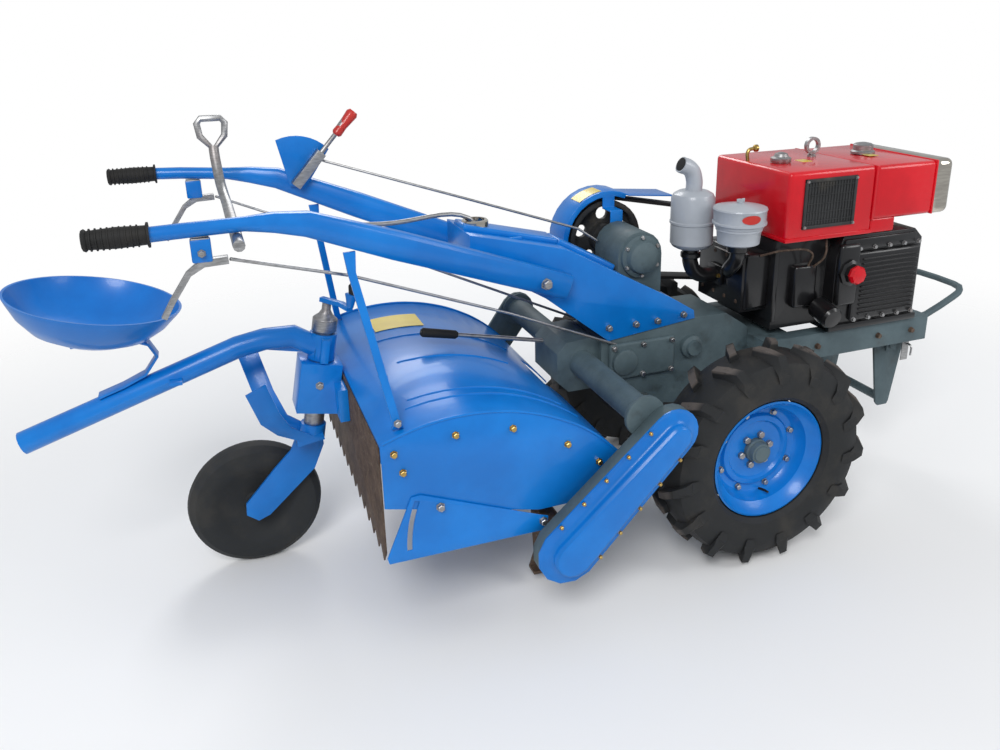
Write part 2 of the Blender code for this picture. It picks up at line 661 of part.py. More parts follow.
def air_cleaner():
    """The air cleaner on its pipe above the cylinder head."""
    x, y = CLEANER_X, CLEANER_Y
    z0, z1 = CLEANER_Z
    r = CLEANER_RADIUS
    body = [(z0 - 0.004, 0.0), (z0 - 0.004, r - 0.020), (z0 + 0.004, r - 0.014),
            (z0 + 0.055, r - 0.012), (z0 + 0.060, r - 0.008), (z0 + 0.090, r),
            (z0 + 0.096, r), (z1 - 0.006, 0.040), (z1 + 0.006, 0.010), (z1 + 0.006, 0.0)]
    thing = place("air_cleaner", lathe(body, (x, y, 0.0), (0.0, 0.0, 1.0), 28), "silver",
                  smooth=True)
    pipe = [(x, y, z0 + 0.002), (x, y, z0 - CLEANER_NECK), (x + 0.002, y + 0.035, z0 - 0.085),
            (CYLINDER_X - 0.020, y + 0.075, z0 - 0.100)]
    join(thing, sweep(smooth_path(pipe, 3), round_section(0.018, 12)))
    join(thing, cylinder((CYLINDER_X - GAP, y + 0.075, z0 - 0.100), (-1.0, 0.0, 0.0), 0.022, 0.026, 12))


# ---- handle ---------------------------------------------------------------
def base_outline(inset=0.0):
    """Side view of the handle base, moved inwards by inset at its top."""
    return [(BASE_FRONT - inset, CASE_TOP_FRONT), (BASE_FRONT - 0.004 - inset, 0.655 - inset),
            (-0.125, 0.700 - inset), (-0.460, 0.884 - inset), (BASE_REAR + inset, 0.950 - inset),
            (BASE_REAR + inset, 0.880), (-0.520, 0.752), (-0.330, CASE_TOP_REAR)]


def handle_base():
    """The pressed box that carries both handlebars, open below."""
    base = place("handle_base", prism(base_outline(), -BASE_HALF, BASE_HALF), "blue")
    hollow = base_outline(SHEET)
    hollow[0] = (hollow[0][0], 0.580)
    hollow[5] = (hollow[5][0], 0.700)
    hollow[6] = (-0.520, 0.600)
    hollow[7] = (-0.330, 0.560)
    cut(base, prism(hollow, -BASE_HALF + SHEET, BASE_HALF - SHEET))
    cut(base, box((CLUTCH_X - 0.0703, CLUTCH_X + 0.0703), (-0.085, 0.200), (0.560, 1.000)))


def beam_point(t):
    """A point of the straight beam: t is 0 at its front and 1 at the crest."""
    front = Vector((BEAM_FRONT_X, BASE_HALF + BEAM_HALF_WIDTH + 0.002, BEAM_FRONT_Z))
    crest = Vector((CREST_X + 0.070, CREST_HALF - 0.012,
                    BEAM_FRONT_Z + BEAM_SLOPE * (BEAM_FRONT_X - CREST_X - 0.070)))
    return front + (crest - front) * t


def handlebar(side):
    """Box beam from the base to the crest, drawn down to a round tube."""
    name = side_name(side)
    bend = [Vector((CREST_X, CREST_HALF, GRIP_Z - 0.012)),
            Vector((CREST_X - 0.060, CREST_HALF + 0.016, GRIP_Z - 0.006)),
            Vector((GRIP_X + 0.060, GRIP_HALF - 0.012, GRIP_Z - 0.001)),
            Vector((GRIP_X, GRIP_HALF, GRIP_Z)), Vector((GRIP_END + 0.006, GRIP_HALF, GRIP_Z))]
    path = mirrored([beam_point(t) for t in (0.0, 0.35, 0.70, 1.0)] + bend, side)
    shape = beam_sections(len(path))
    place(f"handlebar_{name}", sweep(path, shape), "blue", smooth=True)


def beam_sections(count):
    """Sections from a tall oval beam to the round tube at the grip."""
    heights = [BEAM_HALF_HEIGHT] * 3 + [BEAM_HALF_HEIGHT * 0.80, BEAM_HALF_HEIGHT * 0.62]
    widths = [BEAM_HALF_WIDTH] * 4 + [BEAM_HALF_WIDTH * 0.90]
    heights += [TUBE_RADIUS] * (count - len(heights))
    widths += [TUBE_RADIUS] * (count - len(widths))
    sections = []
    for half_width, half_height in zip(widths, heights):
        ring = []
        for a, u in round_section(1.0, 12):
            power = 0.62 if half_height > TUBE_RADIUS * 1.3 else 1.0
            ring.append((half_width * math.copysign(abs(a) ** power, a),
                         half_height * math.copysign(abs(u) ** power, u)))
        sections.append(ring)
    return sections


def grip(side):
    """The rubber grip over the end of a handlebar."""
    length = GRIP_X - GRIP_END
    centre = (GRIP_X, side * GRIP_HALF, GRIP_Z)
    inner = TUBE_RADIUS + GAP
    profile = [(0.002, inner), (0.002, GRIP_RADIUS + 0.005), (0.006, GRIP_RADIUS + 0.005),
               (0.008, GRIP_RADIUS - 0.001), (length * 0.5, GRIP_RADIUS + 0.001),
               (length - 0.004, GRIP_RADIUS - 0.002), (length, GRIP_RADIUS - 0.004),
               (length, inner)]
    place(f"grip_{side_name(side)}", turned_ring(profile, centre, (-1.0, 0.0, 0.0), 16),
          "rubber", smooth=True)


def hand_lever(side):
    """Steering-clutch lever with its bracket below a handlebar."""
    x = GRIP_X + 0.088
    y = side * (GRIP_HALF - 0.020)
    top = GRIP_Z - TUBE_RADIUS - LEVER_DROP
    low = top - 0.049
    bracket = [(x - 0.018, top), (x - 0.012, low), (x + 0.014, low), (x + 0.018, top)]
    name = f"hand_lever_{side_name(side)}"
    lever = place(name, prism(bracket, y - 0.012, y + 0.012), "silver")
    arm = [(x + 0.050, y, low - 0.002), (x, y, low - 0.004), (x - 0.030, y, low - 0.024),
           (x - 0.066, y, low - 0.076), (x - 0.088, y, low - 0.112)]
    join(lever, sweep(arm, [box_section(0.010, 0.008)] * 2 + [box_section(0.007, 0.006)] * 3))


def cross_handle():
    """The tube across the handlebars that ends in an upright D grip."""
    x = GRIP_X + 0.160
    under = GRIP_Z - TUBE_RADIUS - 0.0175
    path = [(x, -CREST_HALF - 0.090, under), (x, -CREST_HALF - 0.010, under),
            (x, 0.040, under), (x - 0.006, 0.150, under + 0.030), (x - 0.010, 0.200, under + 0.090),
            (x - 0.010, 0.212, under + 0.118)]
    up = Vector((1.0, 0.0, 0.0))
    bar = place("cross_handle", sweep(smooth_path(path, 2), round_section(0.0125, 10), up=up),
                "silver", smooth=True)
    low = under + 0.110
    loop = [(0.0, low), (-0.030, low + 0.034), (-0.034, low + 0.066), (-0.024, low + 0.078),
            (0.024, low + 0.078), (0.034, low + 0.066), (0.030, low + 0.034), (0.0, low)]
    points = [(x - 0.010 + dx, 0.212 + (z - low) * 0.10, z) for dx, z in loop[:-1]]
    join(bar, closed_sweep(points, round_section(0.0085, 8)))


def closed_sweep(points, section):
    """Carry a section round a closed path that lies near a YZ-normal plane."""
    bm = bmesh.new()
    points = [Vector(p) for p in points]
    count = len(points)
    rings = []
    for i, point in enumerate(points):
        direction = (points[(i + 1) % count] - points[i - 1]).normalized()
        upward, across = frame_along(direction)
        rings.append([bm.verts.new(point + across * a + upward * u) for a, u in section])
    for i in range(count):
        low, high = rings[i], rings[(i + 1) % count]
        for k in range(len(section)):
            m = (k + 1) % len(section)
            bm.faces.new((low[k], low[m], high[m], high[k]))
    return bm


def clutch_lever():
    """Sector plate on the left handlebar, and the lever that moves on it."""
    t = 0.90
    foot = beam_point(t)
    y0 = foot.y - BEAM_HALF_WIDTH - SHEET - GAP - 0.0010
    pivot = (foot.x - 0.020, foot.z + 0.020)
    fan = [(pivot[0] + 0.020, pivot[1] - 0.020), *arc(pivot[0], pivot[1], 0.125, 42.0, 112.0, 8),
           (pivot[0] - 0.020, pivot[1] - 0.010)]
    place("lever_sector", prism(fan, y0, y0 + SHEET), "blue")
    tilt = math.radians(48.0)
    reach = Vector((math.cos(tilt), 0.0, math.sin(tilt)))
    start = Vector((pivot[0], y0 - 0.014 - GAP, pivot[1]))
    up = Vector((0.0, 1.0, 0.0))
    lever = sweep([start - reach * 0.010, start + reach * 0.105], box_section(0.014, 0.013), up=up)
    thing = place("clutch_lever", lever, "silver")
    join(thing, cylinder(start + reach * 0.100, reach, 0.075, 0.0065, 10))
    grip_profile = [(0.0, 0.0), (0.0, 0.010), (0.020, 0.012), (0.065, 0.0135), (0.074, 0.0)]
    join(thing, lathe(grip_profile, start + reach * 0.170, reach, 12))
    rod = [start + reach * 0.075 + Vector((0.0208, 0.0, 0.0)), Vector((-0.640, 0.150, 0.985)),
           Vector((-0.330, 0.110, 0.880)), Vector((CLUTCH_X - 0.0712, 0.085, CLUTCH_Z + 0.020))]
    place("clutch_rod", sweep(rod, round_section(0.004, 8)), "silver", smooth=True)


def steering_rod(side):
    """Rod from a hand lever to the gearbox's steering arm."""
    x = GRIP_X + 0.088
    low = GRIP_Z - TUBE_RADIUS - LEVER_DROP - 0.049
    start = (x + 0.0530, side * (GRIP_HALF - 0.020), low - 0.002)
    rod = mirrored([(start[0], abs(start[1]), start[2]), (-1.066, 0.248, 0.925), (-0.640, 0.145, 0.740),
                    (CASE_REAR + 0.060, CASE_HALF + 0.0046, CASE_TOP_REAR - 0.020)], side)
    place(f"steering_rod_{side_name(side)}", sweep(rod, round_section(0.004, 8)), "silver",
          smooth=True)


# ---- rotary tiller --------------------------------------------------------
def tiller_case():
    """Middle gear case with the cross tubes to both sides."""
    rear = CASE_REAR - GAP
    outline = [(rear, 0.455), (rear, 0.600), (rear - 0.030, 0.612), (CROSS_X - 0.045, 0.606),
               (CROSS_X - 0.075, 0.575), (CROSS_X - 0.075, 0.490), (CROSS_X - 0.040, 0.455)]
    case = place("tiller_case", prism(outline, -0.085, 0.085), "grey")
    y0 = CHAIN_CASE_Y[1] + GAP
    length = ARM_Y - GAP - y0
    flange = CROSS_RADIUS + 0.016
    tube = [(0.0, 0.0), (0.0, flange), (0.014, flange), (0.016, CROSS_RADIUS),
            (length - 0.009, CROSS_RADIUS), (length - 0.008, flange), (length, flange), (length, 0.0)]
    join(case, lathe(tube, (CROSS_X, y0, CROSS_Z), (0.0, 1.0, 0.0), 20))


def chain_outline(extra=0.0):
    """Outline of the chain case between the sprocket centres."""
    top_x, top_z = CHAIN_TOP
    low_x, low_z = ROTOR_X - 0.006, ROTOR_Z - 0.014
    line = math.degrees(math.atan2(top_z - low_z, top_x - low_x))
    upper = CHAIN_END_RADIUS + extra
    lower = CHAIN_END_RADIUS + 0.018 + extra
    return (arc(top_x, top_z, upper, line - 90.0, line + 90.0, 10)
            + arc(low_x, low_z, lower, line + 95.0, line + 265.0, 6))


def chain_drive():
    """Grey chain case with its blue raised cover."""
    case = place("chain_case", prism(chain_outline(), CHAIN_CASE_Y[0], CHAIN_CASE_Y[1]), "grey")
    cut(case, cylinder((ROTOR_X, CHAIN_CASE_Y[1] - 0.020, ROTOR_Z), (0.0, 1.0, 0.0), 0.030,
                       ROTOR_SHAFT + BEARING, 16))
    inner = CHAIN_CASE_Y[0] - GAP
    cover = place("chain_cover", prism(chain_outline(), inner - SHEET, inner), "blue")
    bm = bmesh.new()
    wide = chain_outline(-0.013)
    narrow = chain_outline(-0.021)
    near = [bm.verts.new((x, inner - SHEET + 0.001, z)) for x, z in wide]
    far = [bm.verts.new((x, CHAIN_COVER_Y, z)) for x, z in narrow]
    bm.faces.new(near)
    bm.faces.new(far[::-1])
    for i in range(len(near)):
        j = (i + 1) % len(near)
        bm.faces.new((near[i], far[i], far[j], near[j]))
    join(cover, bm)


def support_arm():
    """Plate arm from the cross tube to the rotor's left bearing."""
    y0 = ARM_Y
    line = math.degrees(math.atan2(CROSS_Z - ROTOR_Z, CROSS_X - ROTOR_X))
    outline = (arc(CROSS_X, CROSS_Z, 0.056, line - 90.0, line + 90.0, 8)
               + arc(ROTOR_X, ROTOR_Z, 0.050, line + 90.0, line + 270.0, 8))
    arm = place("support_arm", prism(outline, y0, y0 + 0.012), "grey")
    cut(arm, cylinder((ROTOR_X, y0 - 0.010, ROTOR_Z), (0.0, 1.0, 0.0), 0.019,
                      ROTOR_SHAFT + BEARING, 16))


def hood_arc(extra, start_x, end_x, steps):
    """Points of the hood's arc from one x to another."""
    radius = ARC_RADIUS + extra
    start = math.degrees(math.acos((start_x - ARC_X) / radius))
    end = math.degrees(math.acos((end_x - ARC_X) / radius))
    return arc(ARC_X, ARC_Z, radius, start, end, steps)


def tiller_hood():
    """Curved hood with its two side plates and rear flange."""
    top = hood_arc(0.0, HOOD_FRONT_X, HOOD_REAR_X, 14)
    under = hood_arc(-SHEET, HOOD_FRONT_X + 0.001, HOOD_REAR_X, 14)
    rear_low = (HOOD_REAR_X, top[-1][1] - 0.045)
    outline = [*top, rear_low, (HOOD_REAR_X + SHEET, rear_low[1]),
               (HOOD_REAR_X + SHEET, under[-1][1] - 0.001), *reversed(under[:-1])]
    hood = place("tiller_hood", prism(outline, TILLER_RIGHT, TILLER_LEFT), "blue")
    skin = hood_arc(-SHEET * 0.5, HOOD_FRONT_X + 0.004, HOOD_REAR_X + 0.001, 14)
    side = [*skin, (HOOD_REAR_X + 0.001, 0.420), (-0.680, 0.330), (-0.560, 0.330), (-0.450, 0.400)]
    join(hood, prism(side, TILLER_RIGHT, TILLER_RIGHT + SHEET))
    join(hood, prism(side, TILLER_LEFT - SHEET, TILLER_LEFT))
    passage = cylinder((CROSS_X, TILLER_RIGHT - 0.05, CROSS_Z), (0.0, 1.0, 0.0), 1.0,
                       CROSS_RADIUS + GAP, 20)
    cut(hood, passage)
    cut(hood, box((HOOD_FRONT_X - 0.085, HOOD_FRONT_X + 0.1), (-0.095, 0.095), (0.380, 0.620)))


def side_skirt(side):
    """Adjustable plate below a side plate, hinged at its front corner."""
    px, pz = SKIRT_PIVOT
    outline = [(px + 0.012, pz - 0.028), (px + 0.014, pz + 0.010), (px - 0.004, pz + 0.016),
               (-0.975, 0.440), (-0.998, 0.438), (-1.062, 0.290), (-1.058, 0.274)]
    if side < 0:
        y0 = TILLER_RIGHT - GAP - SHEET
    else:
        y0 = TILLER_LEFT + GAP
    pivot = (px, y0 + SHEET / 2.0, pz)
    skirt = place(f"side_skirt_{side_name(side)}", prism(outline, y0, y0 + SHEET), "blue", pivot)
    inner = [(x, z) for x, z in arc(px, pz, 0.330, 158.0, 180.0, 8)]
    outer = [(x, z) for x, z in arc(px, pz, 0.342, 180.0, 158.0, 8)]
    cut(skirt, prism(inner + outer, y0 - 0.01, y0 + SHEET + 0.01))


def rear_comb():
    """Serrated steel strips that hang from the hood's rear flange."""
    x = HOOD_REAR_X - GAP
    top = hood_arc(0.0, HOOD_FRONT_X, HOOD_REAR_X, 4)[-1][1] - 0.006
    width = TILLER_LEFT - TILLER_RIGHT - 0.008
    teeth = 14
    pitch = width / teeth
    bm = bmesh.new()
    outline = [(TILLER_RIGHT + 0.004, top)]
    for i in range(teeth):
        y = TILLER_RIGHT + 0.004 + i * pitch
        outline.append((y, 0.300))
        outline.append((y + pitch * 0.5, 0.262))
    outline.append((TILLER_RIGHT + 0.004 + width, 0.300))
    outline.append((TILLER_RIGHT + 0.004 + width, top))
    front = [bm.verts.new((x, y, z)) for y, z in outline]
    back = [bm.verts.new((x - SHEET, y, z)) for y, z in outline]
    bm.faces.new(front)
    bm.faces.new(back[::-1])
    for i in range(len(front)):
        j = (i + 1) % len(front)
        bm.faces.new((front[i], back[i], back[j], front[j]))
    place("rear_comb", bm, "steel")


def rotor():
    """Tiller shaft with its L-shaped blades, turning on one axis."""
    y0 = CHAIN_CASE_Y[1] - 0.018
    y1 = ARM_Y + 0.0075
    centre = (ROTOR_X, 0.0, ROTOR_Z)
    shaft = place("tiller_rotor", cylinder((ROTOR_X, y0, ROTOR_Z), (0.0, 1.0, 0.0), y1 - y0,
                                           ROTOR_SHAFT, 12), "steel", centre)
    first = TILLER_RIGHT + 0.060
    last = TILLER_LEFT - 0.060
    count = 14
    for i in range(count):
        y = first + (last - first) * i / (count - 1)
        turn = math.radians(i * 137.5)
        hook = 0.034 if i % 2 else -0.034
        if i == 0:
            hook = 0.034
        if i == count - 1:
            hook = -0.034
        join(shaft, blade(y, turn, hook))


def blade(y, turn, hook):
    """One L-shaped blade at its place along the shaft."""
    bm = bmesh.new()
    stem = [(0.010, -0.016), (BLADE_RADIUS - 0.050, -0.022), (BLADE_RADIUS - 0.008, -0.040),
            (BLADE_RADIUS - 0.006, -0.012), (BLADE_RADIUS - 0.045, 0.016), (0.010, 0.016)]
    prism(stem, y - 0.004, y + 0.004, bm)
    low, high = sorted((y, y + hook))
    tip = [(BLADE_RADIUS - 0.014, -0.040), (BLADE_RADIUS - 0.005, -0.040),
           (BLADE_RADIUS - 0.001, -0.010), (BLADE_RADIUS - 0.010, -0.010)]
    foot = bmesh.new()
    prism(tip, low - 0.002, high + 0.002, foot)
    spin = Matrix.Rotation(-turn, 4, "Y")
    shift = Matrix.Translation((ROTOR_X, 0.0, ROTOR_Z))
    joined = weld(bm, foot)
    joined.transform(shift @ spin)
    return joined


def weld(first, second):
    """The union of two closed shapes, as a new bmesh."""
    a = helper(first, "weld_a")
    b = helper(second, "weld_b")
    modifier = a.modifiers.new("union", "BOOLEAN")
    modifier.object = b
    modifier.operation = "UNION"
    modifier.solver = "EXACT"
    bpy.context.view_layer.update()
    graph = bpy.context.evaluated_depsgraph_get()
    result = bmesh.new()
    result.from_mesh(a.evaluated_get(graph).to_mesh())
    bpy.data.objects.remove(a, do_unlink=True)
    bpy.data.objects.remove(b, do_unlink=True)
    return result


# ---- braces, column, tail wheel and seat ----------------------------------
def brace(side):
    """Flat stay from a handlebar down to the hood's rear corner."""
    t = (CREST_X + 0.070 - BEAM_FRONT_X)
    x_top = -1.066
    top = beam_point((x_top - BEAM_FRONT_X) / t)
    y_top = top.y
    z_top = top.z - BEAM_HALF_HEIGHT / math.cos(math.atan(BEAM_SLOPE)) - BRACE_LIFT
    low_y = (TILLER_LEFT if side > 0 else -TILLER_RIGHT) - 0.030
    low_x = -1.012
    low_z = ARC_Z + math.sqrt(ARC_RADIUS ** 2 - (low_x - ARC_X) ** 2) + 0.004
    path = mirrored([(x_top, y_top, z_top), (x_top + 0.002, y_top, z_top - 0.050),
                     (low_x, low_y, low_z + 0.012), (low_x, low_y, low_z)], side)
    wide = [(-0.004, -0.014), (0.004, -0.014), (0.004, 0.014), (-0.004, 0.014)]
    slim = [(-0.007, -0.009), (0.007, -0.009), (0.007, 0.009), (-0.007, 0.009)]
    place(f"brace_{side_name(side)}", sweep(path, [wide, slim, slim, wide]), "blue")


def lean(along, x=0.0, y=0.0):
    """A point along the leaning column, with an offset square to it."""
    s, c = math.sin(COLUMN_LEAN), math.cos(COLUMN_LEAN)
    return Vector((COLUMN_X + along * s + x * c, TAIL_Y + y, COLUMN_Z + along * c - x * s))


def column_axis():
    return Vector((math.sin(COLUMN_LEAN), 0.0, math.cos(COLUMN_LEAN)))


def leaning_box(x, y, z):
    """A box whose sides follow the column; x, y and z are (low, high) pairs."""
    bm = box(x, y, z)
    turn = Matrix.Rotation(COLUMN_LEAN, 4, "Y")
    bm.transform(Matrix.Translation((COLUMN_X, TAIL_Y, COLUMN_Z)) @ turn)
    return bm


def column():
    """Casting on the hood's rear, the column in it and the depth crank."""
    bracket = place("tail_bracket", leaning_box((-0.056, 0.052), (-0.048, 0.048), (-0.115, 0.025)),
                    "blue")
    rear_plate = box((HOOD_REAR_X - 0.030, HOOD_REAR_X - SHEET - GAP * 2.0), (TAIL_Y - 0.110, TAIL_Y + 0.110),
                     (0.470, 0.560))
    join(bracket, rear_plate)
    cut(bracket, cylinder(lean(-0.200), column_axis(), 0.400, COLUMN_RADIUS + GAP, 20))
    tube = [(-0.160, 0.0), (-0.160, COLUMN_RADIUS), (0.105, COLUMN_RADIUS), (0.107, COLUMN_RADIUS + 0.006),
            (0.140, COLUMN_RADIUS + 0.006), (0.152, COLUMN_RADIUS - 0.008), (0.164, 0.012),
            (0.186, 0.012), (0.186, 0.0)]
    place("tail_column", lathe(tube, lean(0.0), column_axis(), 20), "silver", smooth=True)
    high = 0.186 + GAP + 0.006
    arm = [lean(high, -0.016), lean(high, 0.030, -0.040), lean(high, 0.045, -0.080)]
    crank = place("depth_crank", sweep(arm, box_section(0.006, 0.009), up=column_axis()), "blue")
    knob = [(0.0, 0.0), (0.0, 0.009), (0.018, 0.012), (0.036, 0.017), (0.042, 0.0)]
    join(crank, lathe(knob, lean(high + 0.004, 0.045, -0.080), column_axis(), 12))


def seat_beam():
    """Bent tube from its clamp on the column to behind the seat."""
    clamp = lean(0.064)
    y = TAIL_Y
    path = [(clamp.x - 0.020, y, clamp.z + 0.002), (-1.180, y, 0.690), (-1.250, y, 0.692),
            (-1.320, y, 0.680), (-1.846, y, 0.508)]
    beam = place("seat_beam", sweep(path, round_section(SEAT_BEAM_RADIUS, 14)), "blue", smooth=True)
    clamp_ring = [(0.028, COLUMN_RADIUS + GAP), (0.028, COLUMN_RADIUS + 0.009),
                  (0.100, COLUMN_RADIUS + 0.009), (0.100, COLUMN_RADIUS + GAP)]
    cut(beam, cylinder(lean(-0.050), column_axis(), 0.300, COLUMN_RADIUS + 0.004, 20))
    join(beam, turned_ring(clamp_ring, lean(0.0), column_axis(), 20))
    join(beam, leaning_box((-0.010, 0.010), (-0.058, -0.030), (0.032, 0.096)))
    join(beam, prism([(-1.148, 0.640), (-1.146, 0.680), (-1.290, 0.672)], y - 0.004, y + 0.004))
    join(beam, box((-1.492, -1.462), (y - 0.060, y - 0.020), (0.622, 0.630)))


def seat():
    """Leaf spring bent like a C, and the pressed seat pan on it."""
    y = TAIL_Y
    slope = (0.680 - 0.508) / (1.846 - 1.320)
    lift = SEAT_BEAM_RADIUS / math.cos(math.atan(slope)) + GAP + 0.0025
    lower = [(x, y, 0.680 - (-1.320 - x) * slope + lift) for x in (-1.660, -1.600)]
    path = [*lower, (-1.545, y, 0.680 - 0.225 * slope + lift + 0.006), (-1.512, y, 0.690),
            (-1.528, y, 0.724), (-1.570, y, SEAT_SEAT_Z), (-1.700, y, SEAT_SEAT_Z)]
    place("seat_spring", sweep(path, box_section(0.020, 0.003)), "blue")
    place("seat_pan", seat_shell(), "blue", smooth=True)


def seat_shell():
    """A shallow pressed dish, pointed to the front, with a real wall."""
    around = 32
    rings = 5
    centre_x, centre_z = -1.655, SEAT_SEAT_Z + 0.003 + GAP
    bm = bmesh.new()
    layers = []
    for layer, drop in ((0, 0.0), (1, -SHEET)):
        loops = []
        for k in range(1, rings + 1):
            f = k / rings
            loop = []
            for i in range(around):
                angle = 2.0 * math.pi * i / around
                x, yy = seat_edge(angle)
                rise = 0.074 * f ** 2.2 + 0.030 * (x < 0.0) * f ** 3 * abs(math.cos(angle))
                loop.append(bm.verts.new((centre_x + x * f, TAIL_Y + yy * f,
                                          centre_z + SHEET + drop + rise)))
            loops.append(loop)
        middle = bm.verts.new((centre_x, TAIL_Y, centre_z + SHEET + drop))
        layers.append((middle, loops))
    for middle, loops in layers:
        for i in range(around):
            j = (i + 1) % around
            bm.faces.new((middle, loops[0][i], loops[0][j]))
            for low, high in zip(loops, loops[1:]):
                bm.faces.new((low[i], high[i], high[j], low[j]))
    top, under = layers[0][1][-1], layers[1][1][-1]
    for i in range(around):
        j = (i + 1) % around
        bm.faces.new((top[i], under[i], under[j], top[j]))
    return bm


def seat_edge(angle):
    """The rim's plan: round at the rear, drawn to a blunt point in front."""
    x = 0.195 * math.cos(angle)
    taper = 1.0 - 0.38 * max(math.cos(angle), 0.0) ** 1.5
    return x, 0.190 * math.sin(angle) * taper


def tail_wheel():
    """One-sided steering arm with foot pedals, and the tail wheel."""
    head = lean(-0.166)
    empty = joint_empty("tail_steering_axis", lean(0.0))
    profile = [(-0.034, 0.0), (-0.034, 0.034), (RUN - BEARING, 0.034), (RUN - BEARING, 0.0)]
    fork = place("tail_fork", lathe(profile, head, column_axis(), 20), "blue", lean(0.0), empty)
    plate = [(-1.128, 0.410), (-1.124, 0.350), (-1.155, 0.280), (-1.290, 0.160), (-1.322, 0.148),
             (-1.352, 0.172), (-1.350, 0.205), (-1.262, 0.300), (-1.215, 0.345), (-1.185, 0.415)]
    wheel_half = TAIL_WIDTH / 2.0
    inner = TAIL_WHEEL_Y - wheel_half - RUN
    join(fork, prism(plate, inner - FORK_PLATE * 1.6, inner))
    reach = TAIL_WHEEL_Y + wheel_half + 0.008 - inner
    join(fork, cylinder((TAIL_X, inner - 0.004, TAIL_RADIUS), (0.0, 1.0, 0.0), reach + 0.004,
                        0.009, 12))
    join(fork, cylinder((TAIL_X, inner + reach - 0.001, TAIL_RADIUS), (0.0, 1.0, 0.0), 0.008,
                        0.017, 12))
    width = 0.034
    bridge = [(-1.130, 0.412), (-1.126, 0.392), (-1.200, 0.382), (-1.200, 0.402)]
    join(fork, prism(bridge, TAIL_Y - width, TAIL_Y + width))
    for sign in (-1, 1):
        join(fork, pedal(sign, width))
    centre = (TAIL_X, TAIL_WHEEL_Y, TAIL_RADIUS)
    wheel_axis = joint_empty("tail_wheel_axis", centre)
    half = wheel_half
    r = TAIL_RADIUS
    bore = 0.009 + BEARING
    wheel = [(-half, bore), (-half, 0.040), (-half * 0.80, 0.060), (-half * 0.86, r - 0.035),
             (-half * 0.55, r - 0.006), (-half * 0.2, r), (half * 0.2, r), (half * 0.55, r - 0.006),
             (half * 0.86, r - 0.035), (half * 0.80, 0.060), (half, 0.040), (half, bore)]
    place("tail_wheel", turned_ring(wheel, centre, (0.0, 1.0, 0.0), 40), "rubber",
          centre, wheel_axis, True)


def pedal(sign, width):
    """A foot plate that leans up and outwards from the fork's top."""
    bm = bmesh.new()
    y0 = TAIL_Y + sign * (width - 0.004)
    y1 = TAIL_Y + sign * (width + 0.105)
    rows = [(-1.158, y0, 0.392), (-1.235, y0 + sign * 0.012, 0.440), (-1.270, y0 + sign * 0.050, 0.500),
            (-1.300, y1, 0.612)]
    sizes = [0.020, 0.026, 0.036, 0.036]
    rings = []
    for (x, y, z), half in zip(rows, sizes):
        ring = [bm.verts.new((x - half * 0.55, y - 0.0025 * sign, z - half * 0.3)),
                bm.verts.new((x + half * 0.85, y - 0.0025 * sign, z + half * 0.3)),
                bm.verts.new((x + half * 0.85, y + 0.0025 * sign, z + half * 0.3)),
                bm.verts.new((x - half * 0.55, y + 0.0025 * sign, z - half * 0.3))]
        rings.append(ring)
    for low, high in zip(rings, rings[1:]):
        for i in range(4):
            j = (i + 1) % 4
            bm.faces.new((low[i], low[j], high[j], high[i]))
    bm.faces.new(rings[0][::-1])
    bm.faces.new(rings[-1])
    bmesh.ops.recalc_face_normals(bm, faces=bm.faces)
    return bm


def centre_on_ground():
    """Move everything so that the origin is under the middle of the box."""
    bpy.context.view_layer.update()
    graph = bpy.context.evaluated_depsgraph_get()
    corners = []
    for thing in bpy.data.objects:
        if thing.type == "MESH" and not thing.hide_render:
            solid = thing.evaluated_get(graph)
            corners += [thing.matrix_world @ vertex.co for vertex in solid.data.vertices]
    middle = Vector((0.0, 0.0, 0.0))
    for axis in (0, 1):
        values = [corner[axis] for corner in corners]
        middle[axis] = (min(values) + max(values)) / 2.0
    for thing in bpy.data.objects:
        if not thing.parent:
            thing.location -= middle


def build():
    clear_scene()
    for side in (1, -1):
        drive_wheel(side)
    gearbox()
    clutch()
    clutch_pulley()
    belts()
    belt_guard()
    engine_frame()
    bumper()
    stand()
    engine()
    flywheel()
    engine_hood()
    muffler()
    air_cleaner()
    handle_base()
    for side in (1, -1):
        handlebar(side)
        grip(side)
        hand_lever(side)
        steering_rod(side)
        brace(side)
    cross_handle()
    clutch_lever()
    tiller_case()
    chain_drive()
    support_arm()
    tiller_hood()
    for side in (1, -1):
        side_skirt(side)
    rear_comb()
    rotor()
    column()
    seat_beam()
    seat()
    tail_wheel()
    centre_on_ground()


build()
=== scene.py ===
import json
import math

import bpy
from mathutils import Matrix, Vector

